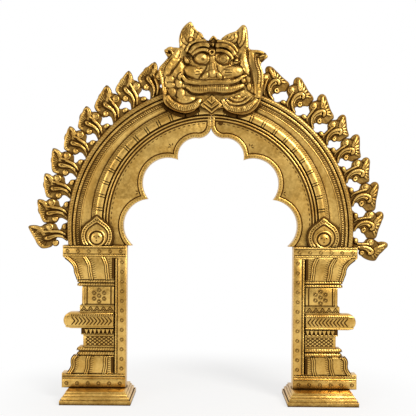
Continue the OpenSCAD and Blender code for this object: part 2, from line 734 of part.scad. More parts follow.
plinth(-1);  // left_plinth
plinth(1);  // right_plinth
plinth_screws();
frame(-1);  // left_frame
frame(1);  // right_frame
column(-1);  // left_column
column(1);  // right_column
column_screws();
arch(-1);  // left_arch
arch(1);  // right_arch
medallion(-1);  // left_medallion
medallion(1);  // right_medallion
strap(-1);  // left_strap
strap(1);  // right_strap
strap_screws();
crown_splice();
splice_screws();
flame(-1, left_tips, 0);  // left_flame_1
flame(-1, left_tips, 1);  // left_flame_2
flame(-1, left_tips, 2);  // left_flame_3
flame(-1, left_tips, 3);  // left_flame_4
flame(-1, left_tips, 4);  // left_flame_5
flame(-1, left_tips, 5);  // left_flame_6
flame(-1, left_tips, 6);  // left_flame_7
flame(-1, left_tips, 7);  // left_flame_8
flame(-1, left_tips, 8);  // left_flame_9
flame(1, right_tips, 0);  // right_flame_1
flame(1, right_tips, 1);  // right_flame_2
flame(1, right_tips, 2);  // right_flame_3
flame(1, right_tips, 3);  // right_flame_4
flame(1, right_tips, 4);  // right_flame_5
flame(1, right_tips, 5);  // right_flame_6
flame(1, right_tips, 6);  // right_flame_7
flame(1, right_tips, 7);  // right_flame_8
flame(1, right_tips, 8);  // right_flame_9
kirtimukha();
makara(-1);  // left_makara
makara(1);  // right_makara
pendant();
mask_studs();
mask_nuts();
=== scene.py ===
"""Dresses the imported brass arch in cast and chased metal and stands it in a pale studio."""

import logging
import math
from dataclasses import dataclass
from enum import Enum
from typing import Sequence

import bpy
from mathutils import Matrix, noise

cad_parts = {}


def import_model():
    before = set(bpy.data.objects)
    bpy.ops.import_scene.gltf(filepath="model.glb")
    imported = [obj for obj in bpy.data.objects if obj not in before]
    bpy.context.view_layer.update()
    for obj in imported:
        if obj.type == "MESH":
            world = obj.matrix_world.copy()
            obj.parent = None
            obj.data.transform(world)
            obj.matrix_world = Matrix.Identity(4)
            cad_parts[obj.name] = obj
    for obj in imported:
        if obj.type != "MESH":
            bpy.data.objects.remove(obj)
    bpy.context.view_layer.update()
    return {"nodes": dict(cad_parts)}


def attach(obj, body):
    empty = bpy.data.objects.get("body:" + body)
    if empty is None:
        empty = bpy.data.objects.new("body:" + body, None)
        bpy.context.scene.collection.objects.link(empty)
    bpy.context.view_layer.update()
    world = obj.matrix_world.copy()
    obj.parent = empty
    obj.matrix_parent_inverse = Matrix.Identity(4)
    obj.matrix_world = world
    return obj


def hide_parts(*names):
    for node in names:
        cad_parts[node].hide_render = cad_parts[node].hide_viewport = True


Piece = bpy.types.Object
Spot = tuple[float, float]
Knot = tuple[float, float, float, float]
Place = tuple[float, float, float, float]
Colour = tuple[float, float, float, float]
Run = list[tuple[float, ...]]
Knots = tuple[tuple[float, ...], ...]
Rows = tuple[tuple, ...]
Lines = tuple[tuple[float, Knots], ...]
Wires = tuple[tuple[float, float, Knots], ...]

LOG = logging.getLogger("arch")
MILLIMETRE = 0.001
BODY = "root"
# Name of the darkness mark on the pieces: tarnish, darker tone and painted shade
TARNISH_AND_SHADE = "tarnish"
MIDDLE = (0.0, 0.0, 0.0)
WHITE = (1.0, 1.0, 1.0, 1.0)


class Side(Enum):
    """The two sides of the arch, by the sign of X."""

    LEFT = -1
    RIGHT = 1

    @property
    def word(self) -> str:
        """Gives the side's word in the names of pieces."""
        return self.name.lower()


@dataclass(frozen=True)
class Sizes:
    """Main sizes of the arch in millimetres, as the part gives them, with heights towards the viewer."""

    half_open: float = 66.5
    pillar_out: float = 117.5
    plinth_mid: float = 88.5
    plinth_top: float = 9.6
    column_foot: float = 21.2
    column_head: float = 114.0
    arch_foot: float = 123.0
    front: float = 6.0
    back: float = -6.0
    plate_front: float = 3.0
    plate_back: float = 0.0
    rim_radius: float = 114.237
    rim_middle: float = 136.8
    rib_radius: float = 94.237
    rib_middle: float = 141.8
    seam: float = 0.03
    mask_middle: float = 263.04
    mask_scale: float = 1.03


SIZES = Sizes()


def flowing(knots: Sequence[Sequence[float]], stretches: int = 4) -> Run:
    """Draws an open smooth run through knots.

    Args:
        knots: The points to pass through, of any number of values each.
        stretches: How many short stretches lie between neighbours.

    Returns:
        The points of the run.
    """
    last = len(knots) - 1
    run = []
    for index in range(last):
        before = knots[max(index - 1, 0)]
        after = knots[min(index + 2, last)]
        for step in range(stretches):
            t = step / stretches
            spot = []
            for p, q, r, s in zip(before, knots[index], knots[index + 1], after):
                bend = (2 * p - 5 * q + 4 * r - s) * t * t + (3 * q - p - 3 * r + s) * t ** 3
                spot.append(0.5 * (2 * q + (r - p) * t + bend))
            run.append(tuple(spot))
    run.append(tuple(knots[last]))
    return run


def looped(knots: Sequence[Sequence[float]], stretches: int = 4) -> Run:
    """Draws a closed smooth run through knots.

    Args:
        knots: The points to pass through.
        stretches: How many short stretches lie between neighbours.

    Returns:
        The points of the run, without the first one repeated.
    """
    lead = 2
    wrapped = list(knots[-lead:]) + list(knots) + list(knots[:lead])
    run = flowing(wrapped, stretches)
    return run[lead * stretches:-(lead - 1) * stretches - 1]


def around(middle: Spot, radius: float, start: float, stop: float, count: int) -> list[Spot]:
    """Walks an arc.

    Args:
        middle: The arc's centre.
        radius: The arc's radius.
        start: The first angle in degrees.
        stop: The last angle in degrees.
        count: How many stretches the arc has.

    Returns:
        The points of the arc, both ends among them.
    """
    spots = []
    for index in range(count + 1):
        turn = math.radians(start + (stop - start) * index / count)
        spots.append((middle[0] + radius * math.cos(turn), middle[1] + radius * math.sin(turn)))
    return spots


def meeting(first: Spot, first_radius: float, second: Spot, second_radius: float) -> Spot:
    """Finds where two circles cross, at the crossing with the larger X.

    Args:
        first: Centre of the first circle.
        first_radius: Its radius.
        second: Centre of the second circle.
        second_radius: Its radius.

    Returns:
        The crossing.
    """
    dx = second[0] - first[0]
    dy = second[1] - first[1]
    reach = math.hypot(dx, dy)
    along = (first_radius ** 2 - second_radius ** 2 + reach ** 2) / (2 * reach)
    off = math.sqrt(max(first_radius ** 2 - along ** 2, 0.0))
    dx /= reach
    dy /= reach
    ends = []
    for sign in (-1, 1):
        ends.append((first[0] + along * dx - sign * off * dy, first[1] + along * dy + sign * off * dx))
    return max(ends)


def bearing(middle: Spot, spot: Spot) -> float:
    """Gives the angle in degrees at which a spot lies from a middle."""
    return math.degrees(math.atan2(spot[1] - middle[1], spot[0] - middle[0]))


def walked(line: Sequence[Spot], pitch: float, margin: float = 0.0) -> list[tuple[float, float, float]]:
    """Steps along a line at an even pitch.

    Args:
        line: The points of the line.
        pitch: The wished distance between steps.
        margin: How far from either end the steps keep.

    Returns:
        The X, Y and heading in degrees of each step.
    """
    lengths = [0.0]
    for a, b in zip(line, line[1:]):
        lengths.append(lengths[-1] + math.dist(a[:2], b[:2]))
    usable = lengths[-1] - 2 * margin
    count = max(1, round(usable / pitch))
    steps = []
    leg = 0
    for index in range(count + 1):
        goal = margin + usable * index / count
        while leg < len(line) - 2 and lengths[leg + 1] < goal:
            leg += 1
        a = line[leg]
        b = line[leg + 1]
        share = (goal - lengths[leg]) / max(lengths[leg + 1] - lengths[leg], 1e-9)
        heading = math.degrees(math.atan2(b[1] - a[1], b[0] - a[0]))
        steps.append((a[0] + (b[0] - a[0]) * share, a[1] + (b[1] - a[1]) * share, heading))
    return steps


class Bench:
    """The maker's bench: pieces lie face up in millimetres, X across and Y up the arch."""

    @staticmethod
    def clear() -> None:
        """Leaves edit mode and lets go of everything."""
        if bpy.context.object and bpy.context.object.mode != "OBJECT":
            bpy.ops.object.mode_set(mode="OBJECT")
        bpy.ops.object.select_all(action="DESELECT")

    @staticmethod
    def pick(parts: Sequence[Piece]) -> None:
        """Selects some parts and nothing else.

        Args:
            parts: The parts to select, the first one to be active.
        """
        Bench.clear()
        for part in parts:
            part.select_set(True)
        bpy.context.view_layer.objects.active = parts[0]

    @staticmethod
    def settle(piece: Piece) -> Piece:
        """Applies a piece's place, turn and scale to its mesh and returns it."""
        Bench.pick([piece])
        bpy.ops.object.transform_apply(location=True, rotation=True, scale=True)
        return piece

    @staticmethod
    def use(piece: Piece, kind: str, **settings: object) -> Piece:
        """Adds a modifier to a piece and applies it.

        Args:
            piece: The piece to change.
            kind: The modifier's type.
            settings: The modifier's settings.

        Returns:
            The piece.
        """
        Bench.pick([piece])
        change = piece.modifiers.new(kind.lower(), kind)
        for key, value in settings.items():
            setattr(change, key, value)
        bpy.ops.object.modifier_apply(modifier=change.name)
        return piece

    @staticmethod
    def close(piece: Piece, merge: float = 0.001) -> Piece:
        """Merges a piece's doubles and turns its faces outwards.

        Args:
            piece: The piece to close.
            merge: How near to each other corners are merged, or 0 to merge none.

        Returns:
            The piece.
        """
        Bench.pick([piece])
        bpy.ops.object.mode_set(mode="EDIT")
        bpy.ops.mesh.select_all(action="SELECT")
        if merge:
            bpy.ops.mesh.remove_doubles(threshold=merge)
        bpy.ops.mesh.normals_make_consistent(inside=False)
        bpy.ops.object.mode_set(mode="OBJECT")
        return piece

    @staticmethod
    def join(parts: Sequence[Piece]) -> Piece:
        """Joins parts into the first one.

        Args:
            parts: The parts to join.

        Returns:
            The joined piece.
        """
        Bench.pick(parts)
        if len(parts) > 1:
            bpy.ops.object.join()
        return bpy.context.view_layer.objects.active

    @staticmethod
    def fuse(parts: Sequence[Piece], grain: float, rounds: int) -> Piece:
        """Casts overlapping parts into one skin.

        Args:
            parts: The parts to cast together.
            grain: The size of the skin's cells.
            rounds: How often the skin is smoothed.

        Returns:
            The cast piece.
        """
        piece = Bench.join(parts)
        Bench.use(piece, "REMESH", mode="VOXEL", voxel_size=grain, use_smooth_shade=True)
        Bench.use(piece, "SMOOTH", factor=0.5, iterations=rounds)
        return piece

    @staticmethod
    def roughen(piece: Piece, reach: float) -> Piece:
        """Makes a cast face uneven, as from a hand-made mould.

        Args:
            piece: The piece as it lies on the bench.
            reach: How far its face rises or sinks.

        Returns:
            The piece.
        """
        facing = 0.2
        dents = 0.42
        pits = 1.1
        pit_share = 0.45
        sunk = 0.5
        lifts = []
        for corner in piece.data.vertices:
            wave = noise.noise(corner.co * dents) + pit_share * noise.noise(corner.co * pits)
            lifts.append(reach * (wave - sunk) if corner.normal.z > facing else 0.0)
        for corner, lift in zip(piece.data.vertices, lifts):
            corner.co.z += lift
        piece.data.update()
        return piece

    @staticmethod
    def shape(curve: bpy.types.Curve) -> Piece:
        """Turns a drawn curve into a mesh.

        Args:
            curve: The curve.

        Returns:
            The mesh.
        """
        piece = bpy.data.objects.new(curve.name, curve)
        bpy.context.collection.objects.link(piece)
        Bench.pick([piece])
        bpy.ops.object.convert(target="MESH")
        return bpy.context.view_layer.objects.active

    @staticmethod
    def plate(outline: Sequence[Spot], low: float, high: float, rounding: float) -> Piece:
        """Cuts a flat plate with rounded edges.

        Args:
            outline: Its closed outline.
            low: Height of the plate's back.
            high: Height of its face.
            rounding: Radius of its edges.

        Returns:
            The plate.
        """
        sheet = bpy.data.curves.new("plate", "CURVE")
        sheet.dimensions = "2D"
        sheet.fill_mode = "BOTH"
        sheet.bevel_depth = rounding
        sheet.bevel_resolution = 2
        sheet.extrude = (high - low) / 2 - rounding
        sheet.offset = -rounding
        line = sheet.splines.new("POLY")
        line.points.add(len(outline) - 1)
        line.use_cyclic_u = True
        for knot, (x, y) in zip(line.points, outline):
            knot.co = (x, y, 0.0, 1.0)
        piece = Bench.shape(sheet)
        piece.location.z = (low + high) / 2
        return Bench.close(Bench.settle(piece))

    @staticmethod
    def rods(runs: Sequence[Sequence[Knot]], sides: int = 2, squash: float = 1.0) -> Piece:
        """Bends round wires through knots.

        Args:
            runs: The knots of each wire, with its radius as their last value.
            sides: How finely the wires are rounded.
            squash: How flat the wires are hammered, from 1 for round.

        Returns:
            All the wires as one mesh.
        """
        wire = bpy.data.curves.new("wire", "CURVE")
        wire.dimensions = "3D"
        wire.bevel_depth = 1.0
        wire.bevel_resolution = sides
        wire.use_fill_caps = True
        for run in runs:
            line = wire.splines.new("POLY")
            line.points.add(len(run) - 1)
            for knot, (x, y, height, radius) in zip(line.points, run):
                knot.co = (x, y, height / squash, 1.0)
                knot.radius = radius
        piece = Bench.shape(wire)
        piece.scale.z = squash
        return Bench.close(Bench.settle(piece))

    @staticmethod
    def blob(place: Sequence[float], sizes: Sequence[float], turn: float = 0.0, facets: int = 20) -> Piece:
        """Rounds a lump of wax.

        Args:
            place: Its middle.
            sizes: Its three radii.
            turn: Its turn on the bench, in degrees.
            facets: How many facets go round it.

        Returns:
            The lump.
        """
        Bench.clear()
        bpy.ops.mesh.primitive_uv_sphere_add(segments=facets, ring_count=max(4, facets // 2), radius=1.0)
        lump = bpy.context.object
        lump.scale = sizes
        lump.rotation_euler.z = math.radians(turn)
        lump.location = place
        return Bench.settle(lump)

    @staticmethod
    def hoop(place: Sequence[float], radius: float, wire: float, facets: int = 24) -> Piece:
        """Bends a ring of wire flat on the bench.

        Args:
            place: Its middle.
            radius: The radius of the ring.
            wire: The radius of the wire.
            facets: How many facets go round it.

        Returns:
            The ring.
        """
        Bench.clear()
        bpy.ops.mesh.primitive_torus_add(major_radius=radius, minor_radius=wire, major_segments=facets,
                                         minor_segments=8, location=place)
        return Bench.settle(bpy.context.object)

    @staticmethod
    def block(low: Sequence[float], high: Sequence[float], rounding: float) -> Piece:
        """Planes a block between two corners and rounds its edges.

        Args:
            low: The lowest corner.
            high: The highest corner.
            rounding: The radius of the edges.

        Returns:
            The block.
        """
        Bench.clear()
        bpy.ops.mesh.primitive_cube_add(size=1.0)
        piece = bpy.context.object
        piece.scale = [b - a for a, b in zip(low, high)]
        piece.location = [(a + b) / 2 for a, b in zip(low, high)]
        Bench.settle(piece)
        return Bench.use(piece, "BEVEL", width=rounding, segments=2)

    @staticmethod
    def turned(profile: Sequence[Spot], middle: float, start: float, stop: float, steps: int) -> Piece:
        """Sweeps a moulding's profile about a middle on the arch's centre line.

        Args:
            profile: Closed profile, as radius and height.
            middle: How far up the arch the middle lies.
            start: The first angle in degrees.
            stop: The last angle in degrees.
            steps: How many steps the sweep has.

        Returns:
            The moulding.
        """
        Bench.clear()
        bpy.ops.mesh.primitive_circle_add(vertices=len(profile), fill_type="NGON")
        piece = bpy.context.object
        turn = math.radians(start)
        for corner, (radius, height) in zip(piece.data.vertices, profile):
            corner.co = (radius * math.cos(turn), middle + radius * math.sin(turn), height)
        bpy.ops.object.mode_set(mode="EDIT")
        bpy.ops.mesh.select_all(action="SELECT")
        bpy.ops.mesh.spin(steps=steps, angle=math.radians(start - stop), center=(0.0, middle, 0.0),
                          axis=(0.0, 0.0, 1.0))
        bpy.ops.mesh.select_all(action="SELECT")
        bpy.ops.mesh.fill_holes(sides=0)
        bpy.ops.object.mode_set(mode="OBJECT")
        return Bench.close(piece)

    @staticmethod
    def strew(seed: Piece, places: Sequence[Place]) -> Piece:
        """Copies a seed to many places and joins the copies.

        Args:
            seed: The piece to copy, made at the bench's middle. It is used up.
            places: X, Y, height and turn in degrees of each copy.

        Returns:
            All the copies as one piece.
        """
        copies = []
        for x, y, height, turn in places:
            copy = seed.copy()
            copy.data = seed.data.copy()
            move = Matrix.Translation((x, y, height)) @ Matrix.Rotation(math.radians(turn), 4, "Z")
            copy.data.transform(move)
            bpy.context.collection.objects.link(copy)
            copies.append(copy)
        bpy.data.objects.remove(seed)
        return Bench.join(copies)

    @staticmethod
    def along(seed: Piece, line: Sequence[Spot], pitch: Spot, height: float, slant: float = 0.0) -> Piece:
        """Copies a seed along a line, at a pitch given with its margin, and returns the copies."""
        return Bench.strew(seed, [(x, y, height, heading + slant) for x, y, heading in walked(line, *pitch)])

    @staticmethod
    def tarnish(piece: Piece, low: float, high: float, depth: float = 1.0) -> Piece:
        """Darkens the low places of a piece's face.

        Args:
            piece: The piece as it lies on the bench.
            low: The height up to which it is fully dark.
            high: The height from which it is bright.
            depth: How dark it gets, from 0 to 1.

        Returns:
            The piece.
        """
        facing = 0.1
        side_share = 0.3
        marks = piece.data.attributes.new(TARNISH_AND_SHADE, "FLOAT", "POINT")
        for mark, corner in zip(marks.data, piece.data.vertices):
            share = min(max((high - corner.co.z) / (high - low), 0.0), 1.0)
            mark.value = depth * (share if corner.normal.z > facing else side_share)
        return piece

    @staticmethod
    def stain_and_shade(piece: Piece, patches: Sequence[Sequence[float]]) -> None:
        """Darkens soft round patches of a tarnished piece's face, for darker tone and for painted shade.

        Args:
            piece: The piece as it lies on the bench.
            patches: Each patch's X, Y, half width, half height and depth.
        """
        facing = 0.1
        marks = piece.data.attributes[TARNISH_AND_SHADE]
        for mark, corner in zip(marks.data, piece.data.vertices):
            if corner.normal.z < facing:
                continue
            for x, y, width, height, depth in patches:
                away = ((corner.co.x - x) / width) ** 2 + ((corner.co.y - y) / height) ** 2
                mark.value = max(mark.value, depth * (1.0 - away))

    @staticmethod
    def blacken(piece: Piece, depth: float = 1.0) -> Piece:
        """Darkens a whole piece evenly.

        Args:
            piece: The piece.
            depth: How dark it gets, from 0 to 1.

        Returns:
            The piece.
        """
        marks = piece.data.attributes.new(TARNISH_AND_SHADE, "FLOAT", "POINT")
        for mark in marks.data:
            mark.value = depth
        return piece

    @staticmethod
    def inlay_and_shade(runs: Sequence[Sequence[Knot]]) -> Piece:
        """Lays flat chased lines, whose knots end with half their width, fully darkened and returns them;
        round the flame stems they are painted shadow, and in the column's flares partly painted shade.
        """
        flatness = 0.25
        return Bench.blacken(Bench.rods(runs, sides=1, squash=flatness))

    @staticmethod
    def chase_and_shade(piece: Piece, runs: Sequence[Sequence[Sequence[float]]]) -> Piece:
        """Chases dark lines along a piece's face: chased marks, and painted shade where a caller lays it.

        Args:
            piece: The piece as it lies on the bench.
            runs: X, Y and half width at each knot of each line.

        Returns:
            The lines, each dropped onto the face.
        """
        above = 60.0
        flatness = 0.5
        bpy.context.view_layer.update()
        lines = []
        for run in runs:
            line = []
            for x, y, half in run:
                met, spot, _, _ = piece.ray_cast((x, y, above), (0.0, 0.0, -1.0))
                if met:
                    line.append((x, y, spot.z, half))
            if len(line) > 1:
                lines.append(line)
        return Bench.blacken(Bench.rods(lines, sides=1, squash=flatness))

    @staticmethod
    def stand(piece: Piece, name: str, side: Side, smooth: float = 40.0) -> Piece:
        """Stands a finished piece up in its place on the arch.

        Args:
            piece: The piece as it lies on the bench, made for the right side.
            name: Its name.
            side: The side it goes to: a left piece is turned over.
            smooth: The angle in degrees below which its edges shade smooth.

        Returns:
            The piece.
        """
        piece.name = name
        piece.data.name = name
        piece.rotation_euler.x = math.radians(90.0)
        piece.scale = (MILLIMETRE, MILLIMETRE, MILLIMETRE)
        Bench.settle(piece)
        if side is Side.LEFT:
            piece.scale.x = -1.0
            Bench.close(Bench.settle(piece), 0.0)
        Bench.pick([piece])
        bpy.ops.object.shade_smooth_by_angle(angle=math.radians(smooth))
        return piece


class Wire:
    """A shader socket that takes part in Python arithmetic."""

    def __init__(self, graph: "Graph", socket: bpy.types.NodeSocket) -> None:
        """Keeps the graph and the socket."""
        self.graph = graph
        self.socket = socket

    def math(self, operation: str, first: object, second: object) -> "Wire":
        """Adds a Math node on two values and returns its result."""
        node = self.graph.add("ShaderNodeMath", {"operation": operation}, {0: first, 1: second})
        return Wire(self.graph, node.outputs[0])

    def __add__(self, other: object) -> "Wire":
        """Adds a value."""
        return self.math("ADD", self, other)

    def __radd__(self, other: object) -> "Wire":
        """Is added to a value."""
        return self.math("ADD", other, self)

    def __sub__(self, other: object) -> "Wire":
        """Takes a value away."""
        return self.math("SUBTRACT", self, other)

    def __rsub__(self, other: object) -> "Wire":
        """Is taken away from a value."""
        return self.math("SUBTRACT", other, self)

    def __mul__(self, other: object) -> "Wire":
        """Multiplies by a value."""
        return self.math("MULTIPLY", self, other)

    def __rmul__(self, other: object) -> "Wire":
        """Multiplies a value."""
        return self.math("MULTIPLY", other, self)

    def between(self, low: float, high: float) -> "Wire":
        """Eases from 0 at low to 1 at high and returns the result."""
        node = self.graph.add("ShaderNodeMapRange", {"interpolation_type": "SMOOTHSTEP"},
                              {"Value": self, "From Min": low, "From Max": high})
        return Wire(self.graph, node.outputs["Result"])


class Graph:
    """The nodes of one material or of the world."""

    def __init__(self, tree: bpy.types.NodeTree) -> None:
        """Empties the tree and keeps it."""
        self.tree = tree
        tree.nodes.clear()

    def add(self, kind: str, settings: dict[str, object], sockets: dict[object, object]) -> bpy.types.Node:
        """Adds any node.

        Args:
            kind: The node's type.
            settings: Its settings.
            sockets: Values or wires for its sockets, by name or number.

        Returns:
            The node.
        """
        node = self.tree.nodes.new(kind)
        for key, value in settings.items():
            setattr(node, key, value)
        for key, value in sockets.items():
            if isinstance(value, Wire):
                self.tree.links.new(value.socket, node.inputs[key])
            else:
                node.inputs[key].default_value = value
        return node

    def wire(self, kind: str, settings: dict[str, object], sockets: dict[object, object],
             output: object = 0) -> Wire:
        """Adds a node and returns one of its outputs as a wire."""
        return Wire(self, self.add(kind, settings, sockets).outputs[output])

    def noise(self, place: Wire, scale: float, detail: float, roughness: float = 0.55) -> Wire:
        """Adds a cloud pattern of a given scale and returns its value."""
        sockets = {"Vector": place, "Scale": scale, "Detail": detail, "Roughness": roughness}
        return self.wire("ShaderNodeTexNoise", {}, sockets, "Fac")

    def shade(self, reach: float) -> Wire:
        """Adds a node that finds hollows within a reach and returns its value, which is 1 in the open."""
        return self.wire("ShaderNodeAmbientOcclusion", {"samples": 8}, {"Distance": reach}, "AO")

    def blend(self, share: object, first: object, second: object) -> Wire:
        """Mixes two colours by a share and returns the result."""
        return self.wire("ShaderNodeMix", {"data_type": "RGBA"}, {0: share, 6: first, 7: second}, 2)

    @classmethod
    def started(cls, name: str) -> tuple[bpy.types.Material, "Graph"]:
        """Starts a material without nodes.

        Args:
            name: The material's name.

        Returns:
            The material and its graph.
        """
        material = bpy.data.materials.new(name)
        material.use_nodes = True
        return material, cls(material.node_tree)


@dataclass(frozen=True)
class AgedBrass:
    """Cast brass, worn bright on its high places and dark in its hollows, where the dark is tarnish together
    with painted shade.
    """

    name: str = "aged_brass"
    bright: Colour = (0.80, 0.515, 0.14, 1.0)
    warm: Colour = (0.56, 0.315, 0.062, 1.0)
    # Dark colour of the tarnish in the hollows and of the painted shade there
    patina_and_shade_colour: Colour = (0.060, 0.024, 0.004, 1.0)
    fine_reach: float = 0.0016
    fine_range: Spot = (0.48, 0.92)
    broad_reach: float = 0.0080
    broad_range: Spot = (0.36, 0.90)
    tone_range: Spot = (0.36, 0.66)
    unevenness: float = 0.22
    cloud: float = 70.0
    speck: float = 520.0
    grain: float = 1500.0
    polish: float = 0.34
    dull: float = 0.60
    depth: float = 0.00022
    lacquer: float = 0.22
    lacquer_polish: float = 0.24

    def make(self) -> bpy.types.Material:
        """Builds the material.

        Returns:
            The material.
        """
        material, graph = Graph.started(self.name)
        place = graph.wire("ShaderNodeTexCoord", {}, {}, "Object")
        fine = graph.shade(self.fine_reach)
        broad = graph.shade(self.broad_reach)
        cloud = graph.noise(place, self.cloud, 4.0)
        speck = graph.noise(place, self.speck, 3.0)
        grain = graph.noise(place, self.grain, 2.0)
        stain_and_shade = graph.wire("ShaderNodeAttribute", {"attribute_name": TARNISH_AND_SHADE}, {}, "Fac")
        spotted = (speck - 0.5) * self.unevenness
        uneven = spotted + (cloud - 0.5) * 0.14
        # Painted shade with tarnish: places that the two reaches find closed in, and the dark marks that the
        # pieces carry, go towards the dark colour
        worn_and_unshaded = (fine + uneven).between(*self.fine_range) * (broad + uneven).between(*self.broad_range)
        patina_and_shade = 1.0 - worn_and_unshaded * (1.0 - stain_and_shade * 0.96)
        tone = (cloud * 0.7 + speck * 0.3).between(*self.tone_range)
        metal = graph.blend(tone, self.warm, self.bright)
        colour = graph.blend(patina_and_shade, metal, self.patina_and_shade_colour)
        rough = self.polish + patina_and_shade * (self.dull - self.polish) + spotted
        relief = {"Strength": 0.30, "Distance": self.depth, "Height": grain * 0.5 + speck * 0.8}
        bump = graph.wire("ShaderNodeBump", {}, relief, "Normal")
        coat = self.lacquer - patina_and_shade * self.lacquer
        sockets = {"Base Color": colour, "Metallic": 1.0, "Roughness": rough, "Normal": bump,
                   "Coat Weight": coat, "Coat Roughness": self.lacquer_polish}
        shader = graph.wire("ShaderNodeBsdfPrincipled", {}, sockets, "BSDF")
        graph.add("ShaderNodeOutputMaterial", {}, {"Surface": shader})
        return material


@dataclass(frozen=True)
class RolledSheet:
    """Rolled sheet metal, brushed along one way, for straps and fixings."""

    name: str
    light: Colour
    dark: Colour
    polish: float = 0.28
    brushing: tuple[float, ...] = (60.0, 900.0, 2400.0)
    cloud: float = 180.0
    reach: float = 0.0015
    depth: float = 0.00008

    def make(self) -> bpy.types.Material:
        """Builds the material.

        Returns:
            The material.
        """
        material, graph = Graph.started(self.name)
        place = graph.wire("ShaderNodeTexCoord", {}, {}, "Object")
        along = graph.wire("ShaderNodeMapping", {}, {"Vector": place, "Scale": self.brushing}, "Vector")
        brush = graph.noise(along, 1.0, 3.0)
        cloud = graph.noise(place, self.cloud, 4.0)
        shade = graph.shade(self.reach)
        # Darker where the reach finds crevices, which is painted shade, mixed with a cloudy tone
        colour = graph.blend((cloud * 0.6 + shade * 0.6).between(0.45, 0.95), self.dark, self.light)
        relief = {"Strength": 0.2, "Distance": self.depth, "Height": brush}
        bump = graph.wire("ShaderNodeBump", {}, relief, "Normal")
        rough = self.polish + brush * 0.2
        sockets = {"Base Color": colour, "Metallic": 1.0, "Roughness": rough, "Normal": bump}
        shader = graph.wire("ShaderNodeBsdfPrincipled", {}, sockets, "BSDF")
        graph.add("ShaderNodeOutputMaterial", {}, {"Surface": shader})
        return material


@dataclass
class Finishes:
    """The materials of the arch, each made once."""

    cast: bpy.types.Material
    sheet: bpy.types.Material
    steel: bpy.types.Material

    @classmethod
    def made(cls) -> "Finishes":
        """Makes the three materials and returns them."""
        sheet = RolledSheet("sheet_brass", (0.78, 0.56, 0.23, 1.0), (0.34, 0.21, 0.07, 1.0))
        steel = RolledSheet("fixing_steel", (0.62, 0.61, 0.59, 1.0), (0.20, 0.19, 0.18, 1.0))
        return cls(AgedBrass().make(), sheet.make(), steel.make())


def dress(piece: Piece, material: bpy.types.Material, node: str) -> None:
    """Gives a piece its material and body, and puts it in the place of a node.

    Args:
        piece: The finished piece.
        material: Its material.
        node: The node that it stands for.
    """
    piece.data.materials.clear()
    piece.data.materials.append(material)
    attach(piece, BODY)
    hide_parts(node)
    LOG.info("%s: %d faces", piece.name, len(piece.data.polygons))


@dataclass
class Plinth:
    """Stepped block under a pillar."""

    half_width: float = 27.7
    half_depth: float = 23.0
    slab: float = 3.5
    bevel: float = 0.35
    sharp: float = 0.5
    # Steps up from the slab, as inset and rise
    steps: tuple[Spot, ...] = (
        (0.9, 0.0), (0.0, -0.5), (0.5, 0.0), (0.0, 2.5), (0.7, 0.6), (0.8, 0.0), (0.0, 0.5), (0.2, 0.9),
        (0.5, 0.6), (0.6, 0.0), (0.0, 1.5)
    )

    def build(self, side: Side) -> Piece:
        """Raises the steps from a slab by insetting and extruding its top.

        Args:
            side: The side it stands on.

        Returns:
            The plinth.
        """
        upward = 0.9
        Bench.clear()
        bpy.ops.mesh.primitive_cube_add(size=1.0)
        piece = bpy.context.object
        piece.scale = (2 * self.half_width, 2 * self.half_depth, self.slab)
        piece.location = (SIZES.plinth_mid, 0.0, self.slab / 2)
        Bench.settle(piece)
        bpy.ops.object.mode_set(mode="EDIT")
        bpy.ops.mesh.select_all(action="DESELECT")
        bpy.ops.object.mode_set(mode="OBJECT")
        for face in piece.data.polygons:
            face.select = face.normal.z > upward
        bpy.ops.object.mode_set(mode="EDIT")
        bpy.ops.mesh.select_mode(type="FACE")
        height = self.slab
        for inset, rise in self.steps:
            if inset > 0:
                bpy.ops.mesh.inset(thickness=inset, depth=0.0)
                bpy.ops.transform.translate(value=(0.0, 0.0, rise))
            else:
                bpy.ops.mesh.extrude_region_move(TRANSFORM_OT_translate={"value": (0.0, 0.0, rise)})
            height += rise
        bpy.ops.transform.translate(value=(0.0, 0.0, SIZES.plinth_top - height))
        bpy.ops.object.mode_set(mode="OBJECT")
        Bench.use(piece, "BEVEL", width=self.bevel, segments=2, limit_method="ANGLE", angle_limit=self.sharp)
        piece.rotation_euler.x = math.radians(-90.0)
        Bench.settle(piece)
        return Bench.stand(piece, f"{side.word}_plinth_cast", side)


